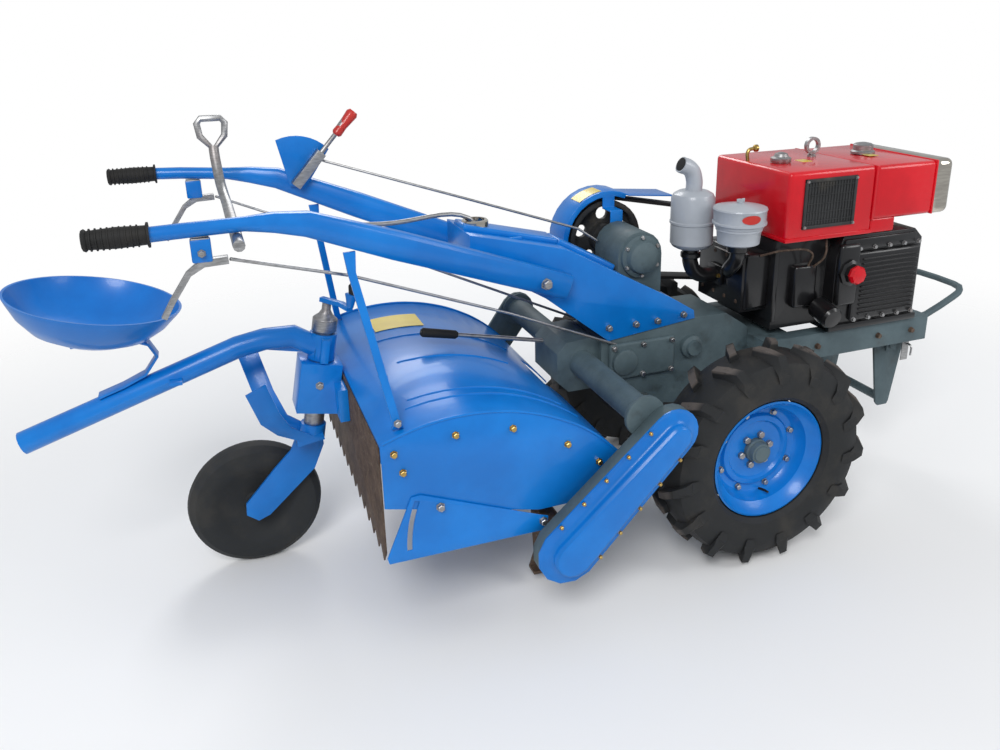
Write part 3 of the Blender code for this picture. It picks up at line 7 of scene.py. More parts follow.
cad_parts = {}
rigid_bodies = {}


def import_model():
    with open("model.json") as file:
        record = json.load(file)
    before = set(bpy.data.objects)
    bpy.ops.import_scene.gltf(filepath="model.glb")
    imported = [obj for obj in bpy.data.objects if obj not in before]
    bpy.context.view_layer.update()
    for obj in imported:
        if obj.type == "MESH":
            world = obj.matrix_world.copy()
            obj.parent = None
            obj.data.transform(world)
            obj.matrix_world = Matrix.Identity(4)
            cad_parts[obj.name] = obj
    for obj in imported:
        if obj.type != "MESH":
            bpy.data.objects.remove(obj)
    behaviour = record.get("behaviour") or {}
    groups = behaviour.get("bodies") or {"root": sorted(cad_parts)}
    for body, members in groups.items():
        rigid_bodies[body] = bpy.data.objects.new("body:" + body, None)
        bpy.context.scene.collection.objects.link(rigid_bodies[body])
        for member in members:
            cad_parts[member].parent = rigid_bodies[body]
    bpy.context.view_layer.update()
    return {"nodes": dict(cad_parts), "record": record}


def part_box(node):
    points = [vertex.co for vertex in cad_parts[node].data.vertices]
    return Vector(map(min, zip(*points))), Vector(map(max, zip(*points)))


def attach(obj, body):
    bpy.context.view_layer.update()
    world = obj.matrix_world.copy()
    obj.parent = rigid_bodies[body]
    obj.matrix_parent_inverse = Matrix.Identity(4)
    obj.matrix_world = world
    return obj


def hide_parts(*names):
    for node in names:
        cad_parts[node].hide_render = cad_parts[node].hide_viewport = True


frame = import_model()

# ---- places that the pieces share, from the CAD nodes ----------------------
TYRE_LOW, TYRE_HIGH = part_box("tyre_right")
AXLE_X = (TYRE_LOW[0] + TYRE_HIGH[0]) / 2.0
AXLE_Z = (TYRE_LOW[2] + TYRE_HIGH[2]) / 2.0
TYRE_RADIUS = (TYRE_HIGH[2] - TYRE_LOW[2]) / 2.0
TYRE_HALF = (TYRE_HIGH[1] - TYRE_LOW[1]) / 2.0
RIGHT_Y = (TYRE_LOW[1] + TYRE_HIGH[1]) / 2.0
LEFT_LOW, LEFT_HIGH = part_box("tyre_left")
LEFT_Y = (LEFT_LOW[1] + LEFT_HIGH[1]) / 2.0
MIDDLE_Y = (RIGHT_Y + LEFT_Y) / 2.0


def at(x, y, z):
    """A point given from the ground under the axle, in the row frame."""
    return Vector((x + AXLE_X, y + MIDDLE_Y, z))


# ---- shader values as Python expressions -----------------------------------
class Value:
    """A shader socket that takes part in Python arithmetic."""

    def __init__(self, paint, socket):
        self.paint = paint
        self.socket = socket

    def _maths(self, operation, first, second):
        return self.paint.node("ShaderNodeMath", {"operation": operation}, {0: first, 1: second})

    def __add__(self, other):
        return self._maths("ADD", self, other)

    def __radd__(self, other):
        return self._maths("ADD", other, self)

    def __sub__(self, other):
        return self._maths("SUBTRACT", self, other)

    def __rsub__(self, other):
        return self._maths("SUBTRACT", other, self)

    def __mul__(self, other):
        return self._maths("MULTIPLY", self, other)

    def __rmul__(self, other):
        return self._maths("MULTIPLY", other, self)

    def __pow__(self, other):
        return self._maths("POWER", self, other)

    def step(self, low, high):
        """0 below low, 1 above high, and a smooth rise between."""
        settings = {"interpolation_type": "SMOOTHSTEP"}
        return self.paint.node("ShaderNodeMapRange", settings, {"Value": self, 1: low, 2: high})


class Paint:
    """A material built from nodes."""

    def __init__(self, name):
        self.material = bpy.data.materials.new(name)
        self.material.use_nodes = True
        self.tree = self.material.node_tree
        self.shader = self.tree.nodes["Principled BSDF"]
        self.coordinates = self.node("ShaderNodeTexCoord", {}, {}, "Object")

    def node(self, kind, settings, inputs, output=0):
        """Any node: its settings first, then values or links for its inputs."""
        made = self.tree.nodes.new(kind)
        for key, value in settings.items():
            setattr(made, key, value)
        for key, value in inputs.items():
            self.feed(made.inputs[key], value)
        return Value(self, made.outputs[output])

    def feed(self, socket, value):
        """Link a shader value to a socket, or set the socket to a plain value."""
        if isinstance(value, Value):
            self.tree.links.new(value.socket, socket)
        else:
            socket.default_value = value

    def noise(self, scale, detail=4.0, rough=0.6, stretch=(1.0, 1.0, 1.0)):
        """Cloudy noise from 0 to 1 over the object."""
        place = self.node("ShaderNodeMapping", {}, {"Vector": self.coordinates, "Scale": stretch})
        return self.node("ShaderNodeTexNoise", {}, {"Vector": place, "Scale": scale,
                                                    "Detail": detail, "Roughness": rough})

    def mix(self, factor, first, second):
        """A colour between two colours."""
        settings = {"data_type": "RGBA"}
        return self.node("ShaderNodeMix", settings, {0: factor, 6: first, 7: second}, 2)

    def relief(self, value, strength, distance):
        """Roughen the surface by a value."""
        bump = self.node("ShaderNodeBump", {}, {"Height": value, "Strength": strength,
                                                "Distance": distance})
        self.feed(self.shader.inputs["Normal"], bump)

    def set(self, **values):
        """Feed the shader's inputs, an underscore standing for a space."""
        for key, value in values.items():
            self.feed(self.shader.inputs[key.replace("_", " ")], value)


def colour(r, g, b):
    """A linear colour with full alpha."""
    return (r, g, b, 1.0)


DUST = colour(0.30, 0.25, 0.18)
RUST = colour(0.16, 0.055, 0.02)


def painted(name, base, shade, roughness, dust=0.35, wear=0.5, coat=0.3):
    """Enamel with uneven colour, dust in the hollows and small worn spots."""
    paint = Paint(name)
    cloud = paint.noise(5.0, 5.0)
    speck = paint.noise(60.0, 6.0, 0.7)
    spots = paint.noise(19.0, 8.0, 0.75)
    body = paint.mix(cloud.step(0.35, 0.70), shade, base)
    dirt = cloud.step(0.48, 0.80) * speck.step(0.40, 0.75) * dust
    dusty = paint.mix(dirt, body, DUST)
    chips = spots.step(0.655, 0.675) * wear
    paint.set(Base_Color=paint.mix(chips, dusty, RUST))
    paint.set(Roughness=roughness + dirt * 0.5 + chips * 0.4, Coat_Weight=coat)
    paint.set(Coat_Roughness=0.08, Specular_IOR_Level=0.35)
    paint.relief(speck * 0.4 + cloud, 0.06, 0.002)
    return paint.material


def metal(name, base, shade, roughness, scale=40.0, rust=0.0):
    """Bare or plated metal with brushing and a few stains."""
    paint = Paint(name)
    cloud = paint.noise(8.0, 6.0)
    grain = paint.noise(scale, 4.0, 0.6, (1.0, 1.0, 6.0))
    stain = cloud.step(0.50, 0.72) * rust
    paint.set(Base_Color=paint.mix(stain, paint.mix(grain.step(0.3, 0.7), shade, base), RUST))
    paint.set(Metallic=1.0 - stain * 0.8, Roughness=roughness + grain * 0.15 + stain * 0.3)
    paint.relief(grain, 0.12, 0.001)
    return paint.material


def rubber(name, base, dust, relief=0.15):
    """Rubber with a little dry dust."""
    paint = Paint(name)
    cloud = paint.noise(9.0, 6.0)
    grain = paint.noise(140.0, 3.0)
    amount = cloud.step(0.42, 0.72) * dust
    paint.set(Base_Color=paint.mix(amount, base, DUST), Roughness=0.62 + cloud * 0.2)
    paint.set(Specular_IOR_Level=0.35)
    paint.relief(grain + cloud * 2.0, relief, 0.0015)
    return paint.material


def tread_rubber(name):
    """Tyre rubber whose lug tops are scuffed pale by the ground."""
    paint = Paint(name)
    cloud = paint.noise(9.0, 6.0)
    grain = paint.noise(140.0, 3.0)
    scuff = paint.noise(34.0, 6.0, 0.7)
    split = {"Vector": paint.coordinates}
    across = paint.node("ShaderNodeSeparateXYZ", {}, split, 0) - AXLE_X
    up = paint.node("ShaderNodeSeparateXYZ", {}, split, 2) - AXLE_Z
    radius = (across * across + up * up) ** 0.5
    top = radius.step(TYRE_RADIUS - 0.011, TYRE_RADIUS - 0.004) * scuff.step(0.25, 0.50)
    dusty = paint.mix(cloud.step(0.45, 0.75) * 0.07, colour(0.011, 0.012, 0.013), DUST)
    paint.set(Base_Color=paint.mix(top * 0.80, dusty, colour(0.115, 0.098, 0.088)))
    paint.set(Roughness=0.58 + cloud * 0.18 + top * 0.15, Specular_IOR_Level=0.4)
    paint.relief(grain + cloud * 2.0 + scuff * top, 0.2, 0.0015)
    return paint.material


def cast(name, base, shade, dust=0.3):
    """Painted sand casting: a coarse skin with oily stains."""
    paint = Paint(name)
    cloud = paint.noise(7.0, 7.0, 0.65)
    grain = paint.noise(170.0, 3.0)
    oil = paint.noise(13.0, 5.0).step(0.55, 0.75)
    body = paint.mix(cloud.step(0.35, 0.65), shade, base)
    dusty = paint.mix(cloud.step(0.55, 0.85) * dust, body, DUST)
    paint.set(Base_Color=paint.mix(oil * 0.45, dusty, colour(0.02, 0.018, 0.015)))
    paint.set(Roughness=0.55 - oil * 0.2 + grain * 0.1, Specular_IOR_Level=0.4)
    paint.relief(grain + cloud, 0.25, 0.002)
    return paint.material


def soil_steel(name):
    """Blade steel that has worked in soil: rust, dried mud, bright edges."""
    paint = Paint(name)
    cloud = paint.noise(16.0, 8.0, 0.7)
    speck = paint.noise(90.0, 6.0, 0.8)
    body = paint.mix(cloud.step(0.3, 0.7), colour(0.05, 0.03, 0.022), colour(0.13, 0.085, 0.06))
    paint.set(Base_Color=paint.mix(speck.step(0.5, 0.8), body, DUST))
    paint.set(Metallic=0.35, Roughness=0.62 + speck * 0.3)
    paint.relief(cloud + speck * 0.5, 0.4, 0.003)
    return paint.material


BLUE = painted("blue_paint", colour(0.002, 0.190, 0.62), colour(0.002, 0.150, 0.52), 0.30, 0.03, 0.10, 0.15)
RED = painted("red_paint", colour(0.66, 0.003, 0.012), colour(0.52, 0.002, 0.009), 0.24, 0.04, 0.0, 0.35)
BLACK = cast("black_paint", colour(0.016, 0.017, 0.018), colour(0.030, 0.031, 0.032))
GREY = cast("grey_cast", colour(0.085, 0.125, 0.140), colour(0.060, 0.090, 0.102), 0.10)
ENGINE_BLACK = painted("engine_enamel", colour(0.007, 0.007, 0.008), colour(0.012, 0.012, 0.013), 0.28,
                       0.03, 0.02, 0.3)
SILVER_PAINT = painted("silver_paint", colour(0.42, 0.45, 0.49), colour(0.36, 0.385, 0.42), 0.32, 0.06,
                       0.0, 0.2)
SILVER = metal("silver", colour(0.46, 0.46, 0.46), colour(0.30, 0.30, 0.30), 0.34, 50.0, 0.25)
CHROME = metal("chrome", colour(0.62, 0.58, 0.50), colour(0.50, 0.46, 0.40), 0.06, 20.0, 0.04)
RUBBER = rubber("rubber", colour(0.012, 0.012, 0.012), 0.05)
TAIL_RUBBER = rubber("tail_rubber", colour(0.020, 0.022, 0.024), 0.06, 0.12)
TYRE = tread_rubber("tyre")
STEEL = soil_steel("dark_steel")
YELLOW = painted("yellow_plate", colour(0.72, 0.55, 0.05), colour(0.60, 0.44, 0.04), 0.35, 0.3, 0.2)
GRIP_RED = painted("red_plastic", colour(0.55, 0.03, 0.02), colour(0.42, 0.02, 0.015), 0.35, 0.1, 0.0)
BRASS = metal("brass", colour(0.55, 0.38, 0.12), colour(0.42, 0.28, 0.09), 0.25, 40.0, 0.1)

FINISH = {
    "blue_paint": BLUE, "red_paint": RED, "black_paint": BLACK, "grey_cast": GREY,
    "silver": SILVER, "chrome": CHROME, "rubber": RUBBER, "tyre": TYRE, "dark_steel": STEEL,
    "engine_black": ENGINE_BLACK,
}
for part in frame["record"]["subparts"]:
    node = frame["nodes"][part["node"]]
    node.data.materials.clear()
    node.data.materials.append(FINISH[part["material_slot"]])


# ---- modelling helpers ------------------------------------------------------
def start(name, add, **options):
    """Add a primitive by its operator and name it."""
    bpy.ops.object.select_all(action="DESELECT")
    add(**options)
    made = bpy.context.object
    made.name = name
    made.data.name = name
    return made


def edit(made, *steps):
    """Run operators on a piece in edit mode, all of it selected."""
    bpy.context.view_layer.objects.active = made
    bpy.ops.object.mode_set(mode="EDIT")
    bpy.ops.mesh.select_all(action="SELECT")
    for step in steps:
        step()
    bpy.ops.object.mode_set(mode="OBJECT")


def settle(made, material, body=None, smooth=35.0):
    """Apply the place, paint the piece and hang it on its body."""
    bpy.ops.object.select_all(action="DESELECT")
    made.select_set(True)
    bpy.context.view_layer.objects.active = made
    bpy.ops.object.transform_apply(location=True, rotation=True, scale=True)
    bpy.ops.object.shade_smooth_by_angle(angle=math.radians(smooth))
    made.data.materials.clear()
    made.data.materials.append(material)
    if body:
        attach(made, body)
    return made


def aim(made, centre, axis):
    """Turn a piece made round +Z so that it points along an axis from a centre."""
    turn = Vector(axis).to_track_quat("Z", "Y").to_matrix().to_4x4()
    made.matrix_world = Matrix.Translation(centre) @ turn
    bpy.context.view_layer.update()


def turned(name, profile, centre, axis, sides=32, ring=False):
    """A turned piece: profile lists (height, radius) from one end to the other.

    A ring's profile closes on itself, and leaves the middle open.
    """
    height, radius = profile[0]
    if ring:
        profile = [*profile, profile[0]]
    made = start(name, bpy.ops.mesh.primitive_circle_add, vertices=sides, radius=radius,
                 fill_type="NOTHING" if ring else "NGON", location=(0.0, 0.0, height))

    def grow():
        at_height, at_radius = height, radius
        for next_height, next_radius in profile[1:]:
            move = {"value": (0.0, 0.0, next_height - at_height)}
            bpy.ops.mesh.extrude_region_move(TRANSFORM_OT_translate=move)
            k = next_radius / at_radius
            bpy.ops.transform.resize(value=(k, k, 1.0), center_override=(0.0, 0.0, next_height))
            at_height, at_radius = next_height, next_radius

    edit(made, grow, lambda: bpy.ops.mesh.select_all(action="SELECT"),
         lambda: bpy.ops.mesh.remove_doubles(threshold=0.00001),
         lambda: bpy.ops.mesh.normals_make_consistent(inside=False))
    bpy.context.view_layer.objects.active = made
    made.select_set(True)
    bpy.ops.object.transform_apply(location=True, rotation=True, scale=True)
    aim(made, centre, axis)
    return made


def block(name, low, high, bevel=0.003, segments=2):
    """A box between two corners with rounded edges."""
    low, high = Vector(low), Vector(high)
    made = start(name, bpy.ops.mesh.primitive_cube_add, size=1.0, location=(low + high) / 2.0,
                 scale=high - low)
    bpy.ops.object.transform_apply(location=True, rotation=True, scale=True)
    edit(made, lambda: bpy.ops.mesh.bevel(offset=bevel, segments=segments, affect="EDGES"))
    return made


def tube(name, points, radius, resolution=3):
    """A round bar through points, with rounded ends."""
    made = start(name, bpy.ops.curve.primitive_bezier_curve_add)
    spline = made.data.splines[0]
    spline.bezier_points.add(len(points) - 2)
    for knot, point in zip(spline.bezier_points, points):
        knot.co = Vector(point) - made.location
        knot.handle_left_type = knot.handle_right_type = "AUTO"
    made.data.dimensions = "3D"
    made.data.bevel_depth = radius
    made.data.bevel_resolution = resolution
    made.data.resolution_u = 8
    made.data.use_fill_caps = True
    made.select_set(True)
    bpy.context.view_layer.objects.active = made
    bpy.ops.object.convert(target="MESH")
    return bpy.context.object


def joined(name, parts):
    """Several pieces made one object."""
    bpy.ops.object.select_all(action="DESELECT")
    for part_made in parts:
        part_made.select_set(True)
    bpy.context.view_layer.objects.active = parts[0]
    bpy.ops.object.join()
    made = bpy.context.object
    made.name = name
    made.data.name = name
    return made


def bolt(centre, axis, size):
    """A hexagon bolt head on its washer."""
    across = size * 0.5
    return turned("bolt_head", [(0.0, across * 1.25), (size * 0.12, across * 1.25),
                                (size * 0.121, across), (size * 0.62, across),
                                (size * 0.70, across * 0.82)], centre, axis, 6)


def bolts(name, places, size, material, body):
    """Bolt heads as one piece; places lists (centre, axis)."""
    heads = [bolt(Vector(centre), axis, size) for centre, axis in places]
    return settle(joined(name, heads), material, body, 25.0)


REPLACED = {"tyre_left", "tyre_right", "tail_wheel", "radiator_hood", "fuel_tank", "tank_end_cap",
            "muffler", "air_cleaner", "rim_left", "rim_right", "chain_cover", "seat_pan"}


# ---- drive tyres ------------------------------------------------------------
CARCASS = TYRE_RADIUS - 0.024
BEAD = 0.176
LUGS = 15


def tyre(side, y):
    """Tyre carcass with V-shaped lugs, in place of the plain CAD tyre."""
    name = "left" if side > 0 else "right"
    half = TYRE_HALF
    centre = Vector((AXLE_X, y, AXLE_Z))
    profile = [(-half * 0.70, BEAD), (-half * 0.86, BEAD + 0.012), (-half * 0.94, BEAD + 0.052),
               (-half * 0.93, CARCASS - 0.040), (-half * 0.80, CARCASS - 0.012),
               (-half * 0.45, CARCASS), (0.0, CARCASS + 0.002), (half * 0.45, CARCASS),
               (half * 0.80, CARCASS - 0.012), (half * 0.93, CARCASS - 0.040),
               (half * 0.94, BEAD + 0.052), (half * 0.86, BEAD + 0.012), (half * 0.70, BEAD)]
    parts = [turned("carcass", profile, centre, (0.0, 1.0, 0.0), 72, True)]
    for i in range(LUGS * 2):
        parts.append(lug(centre, half, i))
    made = settle(joined(f"drive_tyre_{name}", parts), TYRE, f"drive_wheel_{name}", 30.0)
    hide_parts(f"tyre_{name}")


def lug(centre, half, index):
    """One lug: a bar from the middle of the tread out over the shoulder.

    Each row says how far across it lies, its inner and outer radius, how far
    round it has swept, and its half width.
    """
    hand = 1.0 if index % 2 else -1.0
    turn = 2.0 * math.pi * index / (LUGS * 2)
    rows = [(0.06, CARCASS - 0.004, TYRE_RADIUS - 0.001, 0.0, 0.013),
            (0.45, CARCASS - 0.006, TYRE_RADIUS - 0.001, 0.045, 0.014),
            (0.86, CARCASS - 0.020, TYRE_RADIUS - 0.010, 0.105, 0.015),
            (0.99, CARCASS - 0.040, TYRE_RADIUS - 0.044, 0.130, 0.015),
            (0.97, CARCASS - 0.064, TYRE_RADIUS - 0.074, 0.140, 0.010)]
    made = start("lug", bpy.ops.mesh.primitive_plane_add, size=1.0)

    def grow():
        for _ in rows[1:]:
            bpy.ops.mesh.extrude_region_move(TRANSFORM_OT_translate={"value": (0.0, 0.0, 1.0)})

    edit(made, grow)
    for vertex in made.data.vertices:
        row = min(int(round(vertex.co.z)), len(rows) - 1)
        across, inner, outer, sweep, wide = rows[row]
        radius = outer if vertex.co.x > 0.0 else inner
        spread = wide * (0.78 if vertex.co.x > 0.0 else 1.25)
        angle = turn - sweep + (spread if vertex.co.y > 0.0 else -spread) / radius
        shift = half * across * hand
        vertex.co = (centre.x + radius * math.cos(angle), centre.y + shift,
                     centre.z + radius * math.sin(angle))
    edit(made, lambda: bpy.ops.mesh.normals_make_consistent(inside=False))
    return made


for side, wheel_y in ((1.0, LEFT_Y), (-1.0, RIGHT_Y)):
    tyre(side, wheel_y)
    wheel = "left" if side > 0 else "right"
    ring = []
    for i in range(6):
        angle = math.radians(60.0 * i + 12.0)
        face = wheel_y - side * 0.0148
        ring.append(((AXLE_X + 0.046 * math.cos(angle), face, AXLE_Z + 0.046 * math.sin(angle)),
                     (0.0, side, 0.0)))
    bolts(f"wheel_bolts_{wheel}", ring, 0.021, SILVER, f"drive_wheel_{wheel}")


# ---- tail wheel ---------------------------------------------------------------
TAIL_LOW, TAIL_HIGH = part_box("tail_wheel")
TAIL = (TAIL_LOW + TAIL_HIGH) / 2.0
TAIL_R = (TAIL_HIGH.z - TAIL_LOW.z) / 2.0
TAIL_HALF = (TAIL_HIGH.y - TAIL_LOW.y) / 2.0


def tail_wheel():
    """Solid rubber wheel with a pressed disc and a pin boss."""
    r, half = TAIL_R, TAIL_HALF
    profile = [(-half * 0.45, 0.0115), (-half * 0.45, 0.030), (-half * 0.30, 0.034),
               (-half * 0.34, 0.085), (-half * 0.62, 0.105), (-half * 0.86, r - 0.050),
               (-half * 0.80, r - 0.020), (-half * 0.45, r - 0.004), (0.0, r), (half * 0.45, r - 0.004),
               (half * 0.80, r - 0.020), (half * 0.86, r - 0.050), (half * 0.62, 0.105),
               (half * 0.34, 0.085), (half * 0.30, 0.034), (half * 0.45, 0.030), (half * 0.45, 0.0115)]
    made = turned("tail_tyre", profile, TAIL, (0.0, 1.0, 0.0), 64, True)
    settle(made, TAIL_RUBBER, "tail_wheel", 30.0)
    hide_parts("tail_wheel")
    boss = turned("tail_boss", [(-half * 0.98, 0.0108), (-half * 0.98, 0.019), (-half * 0.46, 0.021),
                                (half * 0.46, 0.021), (half * 0.98, 0.019), (half * 0.98, 0.0108)],
                  TAIL, (0.0, 1.0, 0.0), 32, True)
    settle(boss, STEEL, "tail_wheel", 30.0)


tail_wheel()


# ---- engine ---------------------------------------------------------------------
HOOD_LOW, HOOD_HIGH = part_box("radiator_hood")
TANK_LOW, TANK_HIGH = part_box("fuel_tank")
BLOCK_LOW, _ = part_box("engine_block")


def red_hood():
    """The hood and tank as pressed sheet with rounded edges and a seam."""
    low, high = HOOD_LOW.copy(), HOOD_HIGH.copy()
    low.x += 0.004
    hood = block("hood_panel", low, high, 0.013, 4)
    rim = block("hood_flange", (low.x - 0.003, low.y - 0.003, low.z),
                (high.x, high.y + 0.003, low.z + 0.012), 0.002)
    hood = settle(joined("engine_hood", [hood, rim]), RED, "chassis", 30.0)
    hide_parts("radiator_hood")
    top_low = Vector((TANK_LOW.x, TANK_LOW.y, 0.892))
    tank = block("tank_panel", top_low, (TANK_HIGH.x, TANK_HIGH.y, HOOD_HIGH.z - 0.003), 0.013, 4)
    below = block("tank_foot", (TANK_LOW.x, TANK_LOW.y + 0.004, 0.852),
                  (TANK_LOW.x + 0.090, TANK_HIGH.y - 0.004, 0.896), 0.006, 3)
    rib = block("tank_seam", (TANK_LOW.x - 0.004, TANK_LOW.y - 0.002, 0.895),
                (TANK_LOW.x + 0.004, TANK_HIGH.y + 0.002, HOOD_HIGH.z - 0.001), 0.0015)
    front = block("tank_front_seam", (TANK_HIGH.x - 0.006, TANK_LOW.y - 0.002, 0.892),
                  (TANK_HIGH.x, TANK_HIGH.y + 0.002, HOOD_HIGH.z - 0.001), 0.0015)
    made = joined("fuel_tank_shell", [tank, below, rib, front])
    settle(made, RED, "chassis", 30.0)
    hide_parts("fuel_tank")
    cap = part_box("tank_end_cap")
    made = block("tank_cap_pressed", cap[0], cap[1], 0.020, 4)
    dent = block("tank_cap_dish", (cap[1].x - 0.004, cap[0].y + 0.060, cap[0].z + 0.040),
                 (cap[1].x + 0.001, cap[1].y - 0.060, cap[1].z - 0.040), 0.002)
    made = settle(joined("tank_end_chrome", [made, dent]), CHROME, "chassis", 30.0)
    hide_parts("tank_end_cap")


def grille():
    """Dark frame and upright slats on the hood's right face, over a black sheet painted as the shade in the
    opening.
    """
    y = HOOD_LOW.y
    x0, x1 = HOOD_LOW.x + 0.055, HOOD_LOW.x + 0.235
    z0, z1 = HOOD_LOW.z + 0.035, HOOD_HIGH.z - 0.022
    # The black back sheet is painted shade for the depth of the opening behind the slats.
    parts = [block("grille_painted_shade", (x0, y - 0.001, z0), (x1, y + 0.002, z1), 0.0008)]
    edge = 0.010
    for low, high in (((x0, z0), (x1, z0 + edge)), ((x0, z1 - edge), (x1, z1)),
                      ((x0, z0), (x0 + edge, z1)), ((x1 - edge, z0), (x1, z1))):
        parts.append(block("grille_frame", (low[0], y - 0.005, low[1]), (high[0], y, high[1]), 0.0015))
    count = 16
    for i in range(count):
        x = x0 + edge + (x1 - x0 - 2.0 * edge) * (i + 0.5) / count
        parts.append(block("grille_slat", (x - 0.0014, y - 0.0035, z0 + edge),
                           (x + 0.0014, y, z1 - edge), 0.0005, 1))
    for i in range(5):
        z = z0 + edge + (z1 - z0 - 2.0 * edge) * (i + 0.5) / 5
        parts.append(block("grille_wire", (x0 + edge, y - 0.0045, z - 0.001),
                           (x1 - edge, y - 0.002, z + 0.001), 0.0004, 1))
    settle(joined("hood_grille", parts), BLACK, "chassis", 30.0)
    corners = [((x, y - 0.005, z), (0.0, -1.0, 0.0)) for x in (x0 + 0.006, x1 - 0.006)
               for z in (z0 + 0.006, z1 - 0.006)]
    bolts("grille_screws", corners, 0.008, SILVER, "chassis")


def hood_fittings():
    """Radiator cap, fuel cap, lifting eye and water tap on the red hood."""
    top = HOOD_HIGH.z
    x = HOOD_LOW.x
    cap = [(0.0, 0.026), (0.006, 0.030), (0.016, 0.030), (0.020, 0.022), (0.028, 0.018), (0.032, 0.008)]
    settle(turned("radiator_cap", cap, (x + 0.085, MIDDLE_Y - 0.05, top - 0.001), (0, 0, 1), 24),
           SILVER, "chassis")
    ring = turned("lifting_ring", [(-0.006, 0.017), (-0.006, 0.026), (0.006, 0.026), (0.006, 0.017)],
                  (x + 0.235, MIDDLE_Y, top + 0.034), (0, 1, 0), 28, True)
    stem = turned("lifting_stem", [(0.0, 0.013), (0.008, 0.013), (0.010, 0.008), (0.018, 0.008)],
                  (x + 0.235, MIDDLE_Y, top - 0.002), (0, 0, 1), 16)
    settle(joined("lifting_eye", [ring, stem]), SILVER, "chassis")
    neck = [(0.0, 0.036), (0.006, 0.036), (0.010, 0.030), (0.026, 0.030), (0.030, 0.024), (0.033, 0.010)]
    settle(turned("fuel_cap", neck, at(0.585, -0.010, top), (0, 0, 1), 28), SILVER, "chassis")
    tap = tube("water_tap_pipe", [(x + 0.020, MIDDLE_Y + 0.02, top - 0.004),
                                  (x + 0.020, MIDDLE_Y + 0.02, top + 0.030),
                                  (x + 0.038, MIDDLE_Y + 0.02, top + 0.036)], 0.0055)
    knob = turned("water_tap_knob", [(0.0, 0.006), (0.004, 0.011), (0.012, 0.011), (0.015, 0.005)],
                  (x + 0.038, MIDDLE_Y + 0.02, top + 0.036), (1, 0, 0), 12)
    settle(joined("water_tap", [tap, knob]), BRASS, "chassis")
    for i, px in enumerate((x + 0.150, x + 0.395)):
        label = block(f"hood_label_{i}", (px, MIDDLE_Y - 0.070, top - 0.0006),
                      (px + 0.034, MIDDLE_Y - 0.030, top + 0.0008), 0.0005, 1)
        settle(label, YELLOW, "chassis")


def engine_details():
    """Ribbed side cover, head, injector lines, filter and valve cover."""
    y = BLOCK_LOW.y
    x0, x1 = AXLE_X + 0.365, AXLE_X + 0.680
    parts = [block("side_cover", (x0 + 0.060, y - 0.014, 0.585), (x1 - 0.010, y + 0.004, 0.800), 0.010, 3)]
    for i in range(13):
        z = 0.605 + i * 0.0142
        parts.append(block("cover_rib", (x0 + 0.085, y - 0.021, z), (x1 - 0.022, y - 0.010, z + 0.0052),
                           0.0018, 1))
    parts.append(block("cover_pad", (x0 + 0.002, y - 0.020, 0.640), (x0 + 0.075, y + 0.004, 0.830),
                       0.012, 3))
    parts.append(block("top_band", (x0 + 0.020, y - 0.010, 0.806), (x1 - 0.030, y + 0.004, 0.842),
                       0.006, 2))
    parts.append(block("sump_flange", (x0 - 0.010, y - 0.008, 0.558), (x1 + 0.008, y + 0.010, 0.578),
                       0.004, 2))
    settle(joined("engine_side_cover", parts), ENGINE_BLACK, "chassis", 30.0)
    spots = []
    for k in range(5):
        spots.append(((x0 + 0.072 + k * 0.055, y - 0.014, 0.592), (0, -1, 0)))
        spots.append(((x0 + 0.072 + k * 0.055, y - 0.010, 0.812), (0, -1, 0)))
    bolts("cover_bolts", spots, 0.012, SILVER, "chassis")
    knob = turned("start_boss", [(0.0, 0.040), (0.010, 0.040), (0.014, 0.030), (0.026, 0.030)],
                  (x0 + 0.036, y - 0.018, 0.745), (0, -1, 0), 8)
    settle(knob, ENGINE_BLACK, "chassis", 20.0)
    face = turned("start_knob", [(0.0, 0.027), (0.010, 0.029), (0.018, 0.024), (0.020, 0.010)],
                  (x0 + 0.036, y - 0.043, 0.745), (0, -1, 0), 8)
    settle(face, RED, "chassis", 20.0)
    filter_can = turned("oil_filter", [(0.0, 0.020), (0.004, 0.033), (0.070, 0.034), (0.078, 0.028),
                                       (0.080, 0.010)], (x0 - 0.040, y - 0.002 + 0.020, 0.640),
                        (0, -1, -0.25), 28)
    settle(filter_can, ENGINE_BLACK, "chassis")
    head_parts = [block("head_cover", (AXLE_X + 0.098, MIDDLE_Y - 0.135, 0.640),
                        (AXLE_X + 0.180, MIDDLE_Y + 0.105, 0.812), 0.012, 3),
                  block("head_flange", (AXLE_X + 0.176, MIDDLE_Y - 0.158, 0.600),
                        (AXLE_X + 0.192, MIDDLE_Y + 0.130, 0.850), 0.004, 2),
                  block("pump_body", (AXLE_X + 0.240, y + 0.020, 0.640),
                        (AXLE_X + 0.320, y + 0.060, 0.770), 0.010, 3)]
    settle(joined("cylinder_head", head_parts), ENGINE_BLACK, "chassis", 30.0)
    pipes = [tube("fuel_line", [(AXLE_X + 0.280, y + 0.018, 0.770), (AXLE_X + 0.270, y - 0.004, 0.815),
                                (AXLE_X + 0.190, y + 0.010, 0.828),
                                (AXLE_X + 0.140, y + 0.060, 0.805)], 0.0032),
             tube("return_line", [(AXLE_X + 0.300, y + 0.018, 0.765), (AXLE_X + 0.315, y - 0.006, 0.800),
                                  (AXLE_X + 0.330, y + 0.010, 0.848)], 0.0032)]
    settle(joined("fuel_lines", pipes), STEEL, "chassis")
    spots = [((AXLE_X + 0.098, MIDDLE_Y - 0.100 + k * 0.060, z), (-1, 0, 0)) for k in range(4)
             for z in (0.662, 0.790)]
    bolts("head_bolts", spots, 0.014, STEEL, "chassis")


red_hood()
grille()
hood_fittings()
engine_details()


# ---- handle base, gate and levers --------------------------------------------------
BASE_RIDGE = ((-0.125, 0.700), (-0.460, 0.884), (-0.730, 0.950))      # (x, z) from the axle
BASE_HALF = 0.1042


